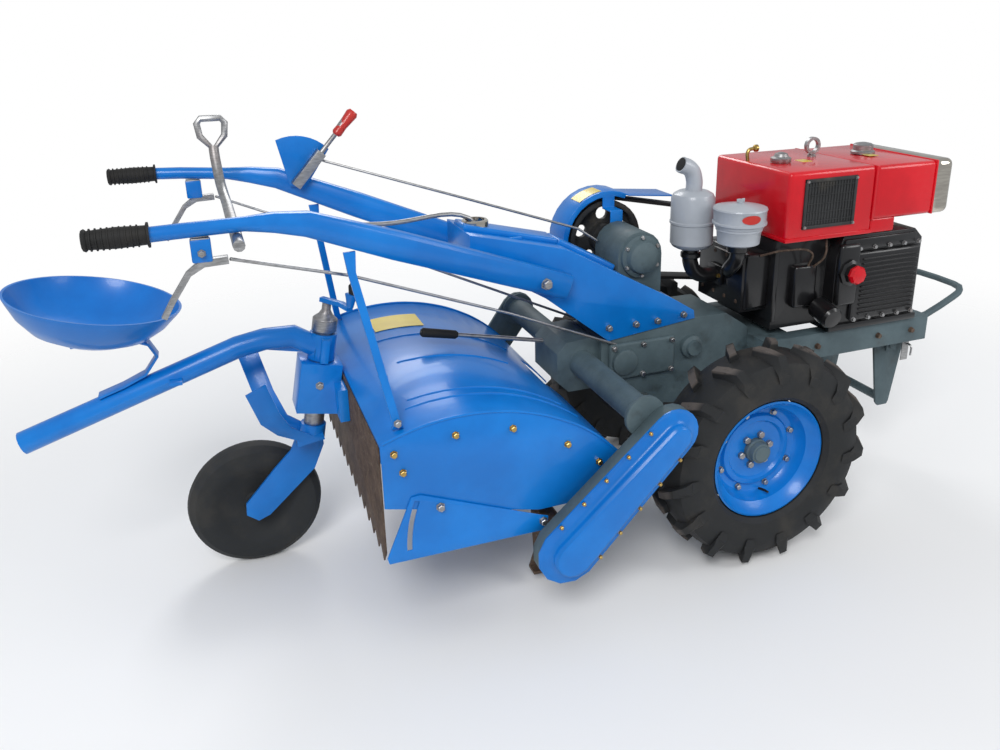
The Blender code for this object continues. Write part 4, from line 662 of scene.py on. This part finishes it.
def base_point(x):
    """Height of the handle base's ridge at x from the axle."""
    (x0, z0), (x1, z1), (x2, z2) = BASE_RIDGE
    if x > x0:
        return z0
    if x > x1:
        return z0 + (x0 - x) * (z1 - z0) / (x0 - x1)
    return z1 + (x1 - x) * (z2 - z1) / (x1 - x2)


def handle_details():
    """Ridge cover with its tabs, gear gate, gear lever and bolts."""
    half = 0.045
    rows = [-0.285, -0.460, -0.728]
    parts = []
    for a, b in zip(rows, rows[1:]):
        mid = ((a + b) / 2.0, MIDDLE_Y, (base_point(a) + base_point(b)) / 2.0 + 0.006)
        slope = math.atan2(base_point(b) - base_point(a), a - b)
        length = math.hypot(a - b, base_point(b) - base_point(a))
        made = block("ridge", (-length / 2.0, -half, -0.009), (length / 2.0, half, 0.009), 0.006, 3)
        made.matrix_world = Matrix.Translation(at(mid[0], 0.0, mid[2])) @ Matrix.Rotation(slope, 4, "Y")
        bpy.context.view_layer.update()
        parts.append(made)
    for side in (-1.0, 1.0):
        parts.append(block("ridge_tab", at(-0.610, side * 0.045 - 0.014, base_point(-0.590) - 0.004),
                           at(-0.570, side * 0.045 + 0.014, base_point(-0.590) + 0.004), 0.002))
    settle(joined("ridge_cover", parts), BLUE, "chassis", 30.0)
    top = base_point(-0.680) + 0.014
    bezel = turned("gate_bezel", [(-0.012, 0.036), (0.010, 0.036), (0.014, 0.033), (0.014, 0.026),
                                  (-0.012, 0.024)], at(-0.682, 0.0, top), (0.0, 0.0, 1.0), 40, True)
    settle(bezel, CHROME, "chassis")
    lever = [at(-0.682, 0.0, top - 0.010), at(-0.700, -0.002, top + 0.020), at(-0.940, -0.030, 0.985),
             at(-1.190, -0.050, 1.012)]
    settle(tube("gear_lever", lever, 0.006), SILVER, "chassis")
    knob = turned("gear_knob", [(0.0, 0.008), (0.008, 0.014), (0.030, 0.017), (0.040, 0.012),
                                (0.044, 0.004)], at(-1.180, -0.0495, 1.012), (-1.0, -0.08, 0.15), 20)
    settle(knob, RUBBER, "chassis")
    spots = []
    for x, z in ((-0.090, 0.648), (-0.175, 0.640), (-0.245, 0.640), (-0.330, 0.640), (-0.520, 0.790)):
        for side in (-1.0, 1.0):
            spots.append((at(x, side * BASE_HALF, z), (0.0, side, 0.0)))
    bolts("base_bolts", spots, 0.017, SILVER, "chassis")
    spots = [(at(-0.545, side * 0.165, 0.815), (0.0, side, 0.0)) for side in (-1.0, 1.0)]
    bolts("beam_bolts", spots, 0.026, SILVER, "chassis")


handle_details()


# ---- tiller ---------------------------------------------------------------------
ARC_X, ARC_Z, ARC_R = -0.860, 0.0856, 0.534
CHAIN_TOP, CHAIN_LOW = (-0.345, 0.500), (-0.626, 0.231)      # (x, z) of the chain case's ends
CHAIN_FACE = -0.5080
CHAIN_REACH, CHAIN_GROWTH = 0.0595, 0.018
HOOD_SIDES = ((-1.0, "right", -0.440), (1.0, "left", 0.420))


def arc_z(x, off=0.0):
    """Height of the tiller hood's skin at x from the axle, lifted by off."""
    return ARC_Z + math.sqrt((ARC_R + off) ** 2 - (x - ARC_X) ** 2)


def tiller_details():
    """Edge beads, bolts, label plate and depth rod of the tiller hood."""
    parts = []
    for y in (-0.4395, 0.4195):
        path = [at(x, y, arc_z(x, 0.001))
                for x in (-1.055, -0.99, -0.92, -0.85, -0.78, -0.70, -0.62, -0.54, -0.455)]
        parts.append(tube("edge_bead", path, 0.0035))
    for y, ends in ((-0.330, (-0.975, -0.530)), (-0.290, (-0.960, -0.560)), (-0.060, (-0.930, -0.620)),
                    (0.120, (-0.960, -0.560))):
        steps = [ends[0] + (ends[1] - ends[0]) * k / 10 for k in range(11)]
        parts.append(tube("pressed_rib", [at(x, y, arc_z(x, -0.0015)) for x in steps], 0.0045))
    settle(joined("hood_edge_beads", parts), BLUE, "chassis")
    label_x = (-0.935, -0.790)
    label = start("hood_label", bpy.ops.mesh.primitive_plane_add, size=1.0)
    edit(label, lambda: bpy.ops.mesh.subdivide(number_cuts=7))
    for vertex in label.data.vertices:
        x = label_x[0] + (vertex.co.x + 0.5) * (label_x[1] - label_x[0])
        vertex.co = at(x, 0.245 + vertex.co.y * 0.11, arc_z(x, 0.0016))
    settle(label, YELLOW, "chassis")
    spots = []
    for x, z in ((-1.030, 0.555), (-1.012, 0.505), (-0.885, 0.575), (-0.745, 0.565), (-0.605, 0.495),
                 (-0.520, 0.430)):
        spots += [(at(x, y, z), (0.0, side, 0.0)) for side, _, y in HOOD_SIDES]
    bolts("side_bolts", spots, 0.015, BRASS, "chassis")
    for side, name, plate in HOOD_SIDES:
        y = plate + side * 0.0045
        bolts(f"skirt_bolts_{name}", [(at(-0.672, y, 0.300), (0.0, side, 0.0)),
                                      (at(-0.930, y, 0.400), (0.0, side, 0.0))], 0.018, SILVER,
              f"side_skirt_{name}")
    low, high = at(-0.847, 0.000, 0.668), at(-0.490, 0.000, 0.590)
    rod = tube("depth_rod", [low, (low + high) / 2.0, high], 0.006)
    settle(rod, SILVER, "chassis")
    direction = (high - low).normalized()
    grip = turned("depth_rod_grip", [(0.0, 0.008), (0.006, 0.013), (0.100, 0.012), (0.106, 0.008)], low,
                  direction, 16)
    settle(grip, RUBBER, "chassis")
    places = []
    top, run = Vector(CHAIN_TOP), Vector(CHAIN_LOW) - Vector(CHAIN_TOP)
    square = Vector((-run.y, run.x)).normalized()
    for f in (0.10, 0.30, 0.50, 0.70, 0.90):
        for hand in (-1.0, 1.0):
            middle = top + run * f
            reach = CHAIN_REACH + CHAIN_GROWTH * f
            spot = middle + square * hand * reach
            places.append((at(spot.x, CHAIN_FACE, spot.y), (0.0, -1.0, 0.0)))
    bolts("chain_bolts", places, 0.009, BRASS, "chassis")


tiller_details()


# ---- gearbox bolts, boss and caps ---------------------------------------------------
def gearbox_details():
    """Side cover with its bolts, shaft caps and the clutch cap's bolts."""
    for side, name in ((-1.0, "right"), (1.0, "left")):
        y = side * 0.1003
        parts = [block(f"gear_cover_{name}", at(-0.330, min(y, y + side * 0.016), 0.480),
                       at(-0.120, max(y, y + side * 0.016), 0.590), 0.008, 3)]
        parts.append(turned("cover_boss", [(0.0, 0.040), (0.026, 0.038), (0.030, 0.030)],
                            at(-0.285, y, 0.535), (0.0, side, 0.0), 28))
        parts.append(turned("shaft_cap", [(0.0, 0.034), (0.014, 0.034), (0.020, 0.024), (0.030, 0.022)],
                            at(-0.060, y, 0.545), (0.0, side, 0.0), 24))
        settle(joined(f"gear_side_{name}", parts), GREY, "chassis", 30.0)
    spots = []
    for side in (-1.0, 1.0):
        for x in (-0.318, -0.225, -0.132):
            for z in (0.490, 0.580):
                spots.append((at(x, side * 0.1165, z), (0.0, side, 0.0)))
        for k in range(6):
            angle = math.radians(60.0 * k)
            spots.append((at(0.064 * math.cos(angle), side * 0.224, 0.320 + 0.064 * math.sin(angle)),
                          (0.0, -side, 0.0)))
    bolts("gear_bolts", spots, 0.014, SILVER, "chassis")
    spots = []
    for k in range(6):
        angle = math.radians(60.0 * k + 30.0)
        spots.append((at(-0.205 + 0.055 * math.cos(angle), -0.0560, 0.822 + 0.055 * math.sin(angle)),
                      (0.0, -1.0, 0.0)))
    bolts("clutch_bolts", spots, 0.011, SILVER, "chassis")


gearbox_details()


# ---- handlebar fittings -----------------------------------------------------------------
def bar_fittings():
    """Blue lever brackets with their pivot bolts, and the lever's red grip."""
    for side, name in ((-1.0, "right"), (1.0, "left")):
        low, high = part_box(f"hand_lever_{name}")
        y = (low.y + high.y) / 2.0
        x = high.x - 0.050
        made = block(f"lever_bracket_{name}", (x - 0.020, y - 0.015, high.z - 0.050),
                     (x + 0.020, y + 0.015, high.z - 0.002), 0.004)
        settle(made, BLUE, "chassis", 30.0)
        bolts(f"lever_pivot_{name}", [((x, y + side * 0.015, high.z - 0.030), (0.0, side, 0.0))], 0.014,
              SILVER, "chassis")
    low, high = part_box("clutch_lever")
    reach = Vector((math.cos(math.radians(48.0)), 0.0, math.sin(math.radians(48.0))))
    y = (low.y + high.y) / 2.0
    tip = Vector((high.x, y, high.z)) - reach * 0.004
    start_at = tip - reach * 0.078
    grip = turned("clutch_grip", [(0.0, 0.010), (0.006, 0.014), (0.030, 0.0125), (0.072, 0.0165),
                                  (0.080, 0.012)], start_at, reach, 24)
    settle(grip, GRIP_RED, "chassis")


def grips():
    """Ribs and end flanges on both handlebar grips."""
    for name in ("right", "left"):
        low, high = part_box(f"grip_{name}")
        y = (low.y + high.y) / 2.0
        z = (low.z + high.z) / 2.0
        parts = []
        for k in range(9):
            x = low.x + 0.016 + k * 0.0105
            parts.append(turned("grip_rib", [(-0.0022, 0.0195), (-0.0012, 0.0222), (0.0012, 0.0222),
                                             (0.0022, 0.0195)], (x, y, z), (1.0, 0.0, 0.0), 28, True))
        parts.append(turned("grip_end", [(0.0, 0.012), (0.002, 0.020), (0.007, 0.0225),
                                         (0.010, 0.0200)], (low.x - 0.0005, y, z), (1.0, 0.0, 0.0), 28))
        settle(joined(f"grip_ribs_{name}", parts), RUBBER, "chassis")


def tail_nuts():
    """The tail wheel's pin nut and the crank's black knob."""
    bolts("tail_axle_nut", [((TAIL.x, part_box("tail_fork")[1].y + 0.0004, TAIL.z), (0.0, 1.0, 0.0))],
          0.022, SILVER, "tail_fork")
    low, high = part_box("depth_crank")
    knob = turned("crank_knob", [(0.0, 0.008), (0.004, 0.0125), (0.028, 0.0115), (0.034, 0.006)],
                  (high.x - 0.012, low.y + 0.014, high.z - 0.010), (0.0, 0.0, 1.0), 20)
    settle(knob, RUBBER, "chassis")


bar_fittings()
grips()
tail_nuts()


# ---- wheel discs ------------------------------------------------------------------
RIM_LOW, RIM_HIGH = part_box("rim_right")
RIM_R = (RIM_HIGH.z - RIM_LOW.z) / 2.0
RIM_HALF = (RIM_HIGH.y - RIM_LOW.y) / 2.0


def wheel_disc(side, y):
    """Rolled rim with a stepped disc, its ring of rim bolts, the hub cap and the valve."""
    name = "left" if side > 0 else "right"
    centre = Vector((AXLE_X, y, AXLE_Z))
    axis = (0.0, side, 0.0)
    lip, half = RIM_R, RIM_HALF
    outer = [(half, lip), (half + 0.002, lip - 0.005), (half - 0.006, lip - 0.010),
             (half * 0.66, lip - 0.020), (half * 0.50, lip - 0.030), (0.004, lip - 0.036),
             (-0.008, lip - 0.046), (-0.012, lip - 0.062), (-0.004, lip - 0.068), (-0.002, lip - 0.082),
             (-0.010, lip - 0.088), (-0.012, 0.034)]
    inner = [(-0.015, 0.034), (-0.015, lip - 0.088), (-0.008, lip - 0.085), (-0.009, lip - 0.066),
             (-0.018, lip - 0.060), (-0.016, lip - 0.044), (-0.004, lip - 0.032),
             (-half * 0.5, lip - 0.030), (-half * 0.66, lip - 0.020), (-half + 0.006, lip - 0.010),
             (-half, lip - 0.005), (-half, lip), (-half * 0.7, lip - 0.012),
             (-half * 0.4, lip - 0.024), (half * 0.4, lip - 0.024), (half * 0.7, lip - 0.012)]
    made = turned(f"wheel_disc_{name}", outer + inner, centre, axis, 72, True)
    settle(made, BLUE, f"drive_wheel_{name}", 28.0)
    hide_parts(f"rim_{name}")
    places = []
    for i in range(8):
        angle = math.radians(45.0 * i + 20.0)
        places.append(((AXLE_X + (lip - 0.054) * math.cos(angle), y - side * 0.0105,
                        AXLE_Z + (lip - 0.054) * math.sin(angle)), axis))
    bolts(f"rim_bolts_{name}", places, 0.016, SILVER, f"drive_wheel_{name}")
    ring = turned("hub_ring", [(-0.014, 0.034), (0.000, 0.034), (0.0045, 0.031), (0.0045, 0.0295)],
                  centre, axis, 32, True)
    cap = turned("hub_cap", [(0.0225, 0.024), (0.0260, 0.022), (0.0265, 0.012)], centre, axis, 24)
    settle(joined(f"hub_cap_{name}", [ring, cap]), GREY, f"drive_wheel_{name}", 30.0)
    low = centre + Vector((0.020, side * -0.004, -(lip - 0.046)))
    stem = tube(f"valve_{name}", [low, low + Vector((0.0, side * 0.018, 0.006)),
                                  low + Vector((0.0, side * 0.040, 0.010))], 0.0035)
    settle(stem, RUBBER, f"drive_wheel_{name}")


for side, wheel_y in ((1.0, LEFT_Y), (-1.0, RIGHT_Y)):
    wheel_disc(side, wheel_y)


# ---- muffler and air cleaner ----------------------------------------------------------
MUFFLER = (-0.010, 0.000, 0.064)      # x, y and radius
MUFFLER_Z = (0.815, 0.985)
CLEANER = (0.050, -0.150, 0.074)
CLEANER_Z = (0.858, 0.972)


def exhaust():
    """Silver muffler with a rolled seam and its outlet, on a black elbow."""
    x, y, r = MUFFLER
    z0, z1 = MUFFLER_Z
    foot = at(x, y, 0.0)
    body = turned("muffler_can", [(z0, r * 0.70), (z0 + 0.006, r - 0.008), (z0 + 0.016, r - 0.001),
                                  (z0 + 0.074, r - 0.001), (z0 + 0.076, r + 0.002),
                                  (z0 + 0.082, r + 0.002), (z0 + 0.084, r), (z1 - 0.020, r),
                                  (z1 - 0.008, r - 0.006), (z1, r - 0.020), (z1 + 0.003, 0.026)], foot,
                  (0.0, 0.0, 1.0), 48)
    outlet = tube("muffler_outlet", [at(x, y, z1 - 0.004), at(x, y, z1 + 0.034),
                                     at(x - 0.014, y, z1 + 0.064), at(x - 0.046, y, z1 + 0.080)],
                  0.024, 5)
    silver = settle(joined("muffler_silver", [body, outlet]), SILVER_PAINT, "chassis", 32.0)
    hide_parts("muffler")
    mouth = at(x - 0.046, y, z1 + 0.080)
    # A black disc on the closed outlet end is painted shade for the dark inside of the pipe.
    mouth_shade_disc = turned("outlet_painted_shade", [(0.0, 0.0205), (0.0014, 0.0205), (0.0016, 0.019)], mouth,
                  (-1.0, 0.0, 0.40), 24)
    settle(mouth_shade_disc, RUBBER, "chassis")
    elbow = tube("exhaust_elbow", [at(x, y, z0 + 0.006), at(x, y, z0 - 0.045),
                                   at(x + 0.026, y, z0 - 0.084), at(0.080, y, z0 - 0.092)], 0.023, 5)
    collar = turned("elbow_collar", [(z0 - 0.030, 0.028), (z0 - 0.027, 0.030), (z0 - 0.016, 0.030),
                                     (z0 - 0.013, 0.027)], foot, (0.0, 0.0, 1.0), 28)
    plate = block("elbow_flange", at(0.076, y - 0.034, z0 - 0.122), at(0.0895, y + 0.034, z0 - 0.062),
                  0.004, 2)
    settle(joined("exhaust_elbow_black", [elbow, collar, plate]), ENGINE_BLACK, "chassis",
           32.0)
    bolts("elbow_bolts", [(at(0.076, y + h, z0 - 0.092), (-1.0, 0.0, 0.0)) for h in (-0.028, 0.028)],
          0.012, BRASS, "chassis")


def cleaner():
    """Air cleaner: lid with wing nut, upper bowl with a bead, lower bowl, pipe."""
    x, y, r = CLEANER
    z0, z1 = CLEANER_Z
    foot = at(x, y, 0.0)
    body = turned("cleaner_bowl", [(z0 - 0.004, r - 0.026), (z0 + 0.002, r - 0.015),
                                   (z0 + 0.036, r - 0.012), (z0 + 0.040, r - 0.009),
                                   (z0 + 0.046, r - 0.009), (z0 + 0.048, r - 0.006),
                                   (z0 + 0.056, r - 0.004), (z0 + 0.058, r + 0.002),
                                   (z0 + 0.063, r + 0.002), (z0 + 0.065, r - 0.001), (z0 + 0.096, r),
                                   (z0 + 0.099, r + 0.002), (z0 + 0.103, r), (z1 - 0.006, r - 0.026),
                                   (z1, 0.020), (z1 + 0.001, 0.010)], foot, (0.0, 0.0, 1.0), 48)
    stud = turned("cleaner_stud", [(z1 - 0.001, 0.009), (z1 + 0.003, 0.009), (z1 + 0.004, 0.004),
                                   (z1 + 0.012, 0.0035)], foot, (0.0, 0.0, 1.0), 12)
    wings = [block("wing", at(x + h - 0.005, y - 0.0015, z1 + 0.003),
                   at(x + h + 0.005, y + 0.0015, z1 + 0.013), 0.001, 2) for h in (-0.008, 0.008)]
    made = settle(joined("cleaner_silver", [body, stud, *wings]), SILVER_PAINT, "chassis", 32.0)
    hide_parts("air_cleaner")
    patch = start("cleaner_label", bpy.ops.mesh.primitive_circle_add, vertices=32, radius=1.0,
                  fill_type="TRIFAN")
    edit(patch, lambda: bpy.ops.mesh.subdivide(number_cuts=2))
    for vertex in patch.data.vertices:
        turn = math.radians(-98.0) + vertex.co.x * 0.028 / r
        vertex.co = at(x + (r + 0.0012) * math.cos(turn), y + (r + 0.0012) * math.sin(turn),
                       z0 + 0.081 + vertex.co.y * 0.0125)
    settle(patch, GRIP_RED, "chassis")
    pipe = tube("intake_pipe", [at(x, y, z0), at(x, y, z0 - 0.045),
                                at(x + 0.002, y + 0.035, z0 - 0.085), at(0.078, y + 0.075, z0 - 0.100)],
                0.022, 5)
    collar = turned("intake_collar", [(z0 - 0.026, 0.027), (z0 - 0.023, 0.030), (z0 - 0.006, 0.032),
                                      (z0 - 0.003, 0.029)], foot, (0.0, 0.0, 1.0), 28)
    settle(joined("intake_black", [pipe, collar]), ENGINE_BLACK, "chassis", 32.0)


exhaust()
cleaner()


# ---- chain cover and seat ------------------------------------------------------------------
def weld_copy(node, name):
    """A welded copy of a CAD node, standing free."""
    bpy.ops.object.select_all(action="DESELECT")
    source = frame["nodes"][node]
    source.select_set(True)
    bpy.context.view_layer.objects.active = source
    bpy.ops.object.duplicate()
    made = bpy.context.object
    bpy.ops.object.parent_clear(type="CLEAR_KEEP_TRANSFORM")
    made.name = made.data.name = name
    edit(made, lambda: bpy.ops.mesh.remove_doubles(threshold=0.00002),
         lambda: bpy.ops.mesh.dissolve_limited(angle_limit=math.radians(1.0)))
    return made


def pick_faces(made, test):
    """Select the faces that pass a test, and nothing else."""
    bpy.context.view_layer.objects.active = made
    bpy.ops.object.mode_set(mode="EDIT")
    bpy.ops.mesh.select_mode(type="FACE")
    bpy.ops.mesh.select_all(action="DESELECT")
    bpy.ops.object.mode_set(mode="OBJECT")
    for face in made.data.polygons:
        face.select = test(face)
    bpy.ops.object.mode_set(mode="EDIT")


def chain_cover():
    """Thin bolted flange with a pressed dome on it."""
    made = weld_copy("chain_cover", "chain_cover_pressed")
    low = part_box("chain_cover")[0].y
    pick_faces(made, lambda face: face.normal.y < -0.9 and face.center.y < low + 0.004)
    bpy.ops.transform.translate(value=(0.0, 0.024, 0.0))
    bpy.ops.mesh.inset(thickness=0.013)
    bpy.ops.mesh.extrude_region_move(TRANSFORM_OT_translate={"value": (0.0, -0.012, 0.0)})
    bpy.ops.mesh.extrude_region_move(TRANSFORM_OT_translate={"value": (0.0, -0.012, 0.0)})
    bpy.ops.mesh.inset(thickness=0.002, depth=0.0)
    bpy.ops.mesh.extrude_region_move(TRANSFORM_OT_translate={"value": (0.0, -0.004, 0.0)})
    bpy.ops.mesh.inset(thickness=0.006, depth=0.0)
    bpy.ops.transform.translate(value=(0.0, -0.001, 0.0))
    bpy.ops.mesh.select_mode(type="VERT")
    bpy.ops.object.mode_set(mode="OBJECT")
    settle(made, BLUE, "chassis", 45.0)
    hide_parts("chain_cover")


SEAT_TIP = 13.0      # degrees forward


def seat():
    """Deep pressed bowl with a rolled rim, tipped forward."""
    low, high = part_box("seat_pan")
    middle = (low + high) / 2.0
    radius = (high.x - low.x) / 2.0
    bowl = [(0.0, 0.020), (0.0, 0.045), (0.010, 0.090), (0.030, 0.135), (0.062, 0.168),
            (0.094, radius - 0.006), (0.104, radius), (0.109, radius + 0.002), (0.109, radius - 0.004),
            (0.103, radius - 0.007), (0.092, radius - 0.013), (0.064, 0.162), (0.034, 0.129),
            (0.014, 0.085), (0.004, 0.043), (0.0035, 0.020)]
    made = turned("seat_bowl", bowl, (middle.x, middle.y, low.z), (0.0, 0.0, 1.0), 64, True)
    tip = Matrix.Rotation(math.radians(SEAT_TIP), 4, "Y")
    made.matrix_world = Matrix.Translation((middle.x, middle.y, low.z)) @ tip
    bpy.context.view_layer.update()
    disc = turned("seat_centre", [(0.0005, 0.021), (0.0035, 0.021), (0.0038, 0.014)],
                  (middle.x, middle.y, low.z), (0.0, 0.0, 1.0), 32)
    bowl = settle(joined("seat_bowl", [made, disc]), BLUE, "chassis", 40.0)
    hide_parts("seat_pan")
    bolts("seat_bolts", [((middle.x + h, middle.y, low.z + 0.004), (0.0, 0.0, 1.0))
                         for h in (-0.012, 0.012)], 0.012, SILVER, "chassis")


chain_cover()
seat()


# ---- far side and small fittings ---------------------------------------------------------------
def far_side():
    """Flywheel face, support arm bolts and the belt guard's label."""
    low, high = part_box("engine_flywheel")
    centre = Vector(((low.x + high.x) / 2.0, high.y, (low.z + high.z) / 2.0))
    rings = [turned("fly_rim", [(-0.010, 0.118), (0.004, 0.118), (0.006, 0.114), (0.006, 0.104),
                                (0.002, 0.100), (-0.010, 0.100)], centre, (0.0, 1.0, 0.0), 64, True),
             turned("fly_boss", [(-0.006, 0.044), (0.004, 0.042), (0.008, 0.036), (0.008, 0.020)],
                    centre, (0.0, 1.0, 0.0), 32)]
    settle(joined("flywheel_face", rings), BLACK, "chassis", 30.0)
    places = [((centre.x + 0.030 * math.cos(a), centre.y + 0.007, centre.z + 0.030 * math.sin(a)),
               (0.0, 1.0, 0.0)) for a in (0.3, 2.4, 4.5)]
    bolts("flywheel_bolts", places, 0.016, STEEL, "chassis")
    places = [(at(x, 0.4425, z), (0.0, 1.0, 0.0))
              for x, z in ((-0.385, 0.555), (-0.405, 0.510), (-0.600, 0.262), (-0.645, 0.240))]
    bolts("arm_bolts", places, 0.018, SILVER, "chassis")
    patch = start("guard_label", bpy.ops.mesh.primitive_plane_add, size=1.0)
    edit(patch, lambda: bpy.ops.mesh.subdivide(number_cuts=9))
    for vertex in patch.data.vertices:
        turn = math.radians(112.0) + vertex.co.x * math.radians(30.0)
        vertex.co = at(-0.205 + 0.1508 * math.cos(turn), 0.205 + vertex.co.y * 0.065,
                       0.822 + 0.1508 * math.sin(turn))
    edit(patch, lambda: bpy.ops.mesh.normals_make_consistent(inside=False))
    settle(patch, YELLOW, "chassis")


def small_fittings():
    """Stand latch, brace bolts, column clamp bolts and frame bolts."""
    latch = [block("latch_plate", at(0.700, -0.1560, 0.395), at(0.728, -0.1525, 0.465), 0.0015),
             tube("latch_pin", [at(0.714, -0.158, 0.452), at(0.714, -0.176, 0.452),
                                at(0.714, -0.180, 0.420)], 0.003)]
    settle(joined("stand_latch", latch), SILVER, "front_stand", 30.0)
    places = []
    for side, low_y in ((-1.0, -0.4175), (1.0, 0.3975)):
        places.append((at(-1.012, low_y, 0.618), (0.0, side, 0.0)))
    bolts("brace_bolts", places, 0.016, SILVER, "chassis")
    places = [(at(-1.135, -0.0605, 0.585), (0.0, -1.0, 0.0))]
    bolts("column_bolts", places, 0.018, SILVER, "chassis")
    places = [(at(x, -0.1905, 0.515), (0.0, -1.0, 0.0)) for x in (0.200, 0.330, 0.560, 0.690)]
    places += [(at(x, 0.1905, 0.515), (0.0, 1.0, 0.0)) for x in (0.200, 0.330, 0.560, 0.690)]
    bolts("frame_bolts", places, 0.016, STEEL, "chassis")


far_side()
small_fittings()


# ---- sheet and castings with softened edges -----------------------------------------------
BODY_OF = {node: body for body, nodes in frame["record"]["behaviour"]["bodies"].items() for node in nodes}
PLAIN = {"tiller_rotor"}


def soften(node, slot, width=0.0012):
    """A welded copy of a CAD node with its edges rounded, in its place."""
    made = weld_copy(node, f"{node}_soft")
    bevel = made.modifiers.new("edges", "BEVEL")
    bevel.width = width
    bevel.segments = 2
    bevel.limit_method = "ANGLE"
    bevel.angle_limit = math.radians(38.0)
    bpy.ops.object.modifier_apply(modifier=bevel.name)
    settle(made, FINISH[slot], BODY_OF[node], 38.0)
    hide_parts(node)


for part in frame["record"]["subparts"]:
    if part["node"] not in REPLACED | PLAIN:
        soften(part["node"], part["material_slot"])


# ---- floor, light and camera --------------------------------------------------
def stage_floor():
    """A wide pale floor; the camera sees its far part as white."""
    floor = start("floor", bpy.ops.mesh.primitive_plane_add, size=60.0, location=(0.0, 0.0, -0.0005))
    paint = Paint("floor")
    away = paint.node("ShaderNodeVectorMath", {"operation": "LENGTH"}, {0: paint.coordinates}, 1)
    paint.set(Base_Color=colour(0.88, 0.88, 0.88), Roughness=0.9, Specular_IOR_Level=0.1)
    paint.set(Alpha=1.0 - away.step(1.6, 3.6))
    floor.data.materials.append(paint.material)


def world_light(strength):
    """Soft light from all round; the camera itself sees plain white."""
    world = bpy.data.worlds.new("studio")
    bpy.context.scene.world = world
    world.use_nodes = True
    nodes, links = world.node_tree.nodes, world.node_tree.links
    back = nodes["Background"]
    back.inputs["Color"].default_value = colour(0.93, 0.96, 1.0)
    back.inputs["Strength"].default_value = strength
    white = nodes.new("ShaderNodeBackground")
    white.inputs["Color"].default_value = colour(1.0, 1.0, 1.0)
    seen = nodes.new("ShaderNodeLightPath")
    mixed = nodes.new("ShaderNodeMixShader")
    links.new(seen.outputs["Is Camera Ray"], mixed.inputs[0])
    links.new(back.outputs[0], mixed.inputs[1])
    links.new(white.outputs[0], mixed.inputs[2])
    links.new(mixed.outputs[0], nodes["World Output"].inputs["Surface"])


def lamp(name, where, size, power):
    """A round soft lamp aimed at the machine."""
    bpy.ops.object.light_add(type="AREA", location=where)
    made = bpy.context.object
    made.name = name
    made.data.shape = "DISK"
    made.data.size = size
    made.data.energy = power
    made.rotation_euler = (Vector((0.0, 0.0, 0.5)) - Vector(where)).to_track_quat("-Z", "Y").to_euler()


FOCAL, SENSOR = 31.14, 36.0                  # mm
YAW, PITCH, ROLL = 20.35, 18.75, 1.02        # degrees
EYE = (-1.366, -2.159, 1.490)                # from the ground under the axle
SHIFT = (-0.0173, -0.0701)


def place_camera():
    """A camera turned by YAW from +Y towards +X, tilted down by PITCH, then rolled."""
    yaw, pitch, roll = (math.radians(value) for value in (YAW, PITCH, ROLL))
    flat = Vector((math.sin(yaw), math.cos(yaw), 0.0))
    up = Vector((0.0, 0.0, 1.0))
    forward = flat * math.cos(pitch) - up * math.sin(pitch)
    right = forward.cross(up).normalized()
    down = forward.cross(right)
    right, down = (right * math.cos(roll) + down * math.sin(roll),
                   down * math.cos(roll) - right * math.sin(roll))
    bpy.ops.object.camera_add()
    camera = bpy.context.object
    turn = Matrix((right, -down, -forward)).transposed().to_4x4()
    camera.matrix_world = Matrix.Translation(at(*EYE)) @ turn
    camera.data.lens = FOCAL
    camera.data.sensor_width = SENSOR
    camera.data.shift_x, camera.data.shift_y = SHIFT
    bpy.context.scene.camera = camera


stage_floor()
world_light(0.55)
lamp("key", (-2.5, -4.0, 4.5), 2.5, 190.0)
lamp("fill", (4.0, -3.0, 3.0), 2.5, 70.0)
lamp("back", (0.5, 4.5, 4.0), 2.5, 90.0)
place_camera()
bpy.context.scene.view_settings.view_transform = "Standard"
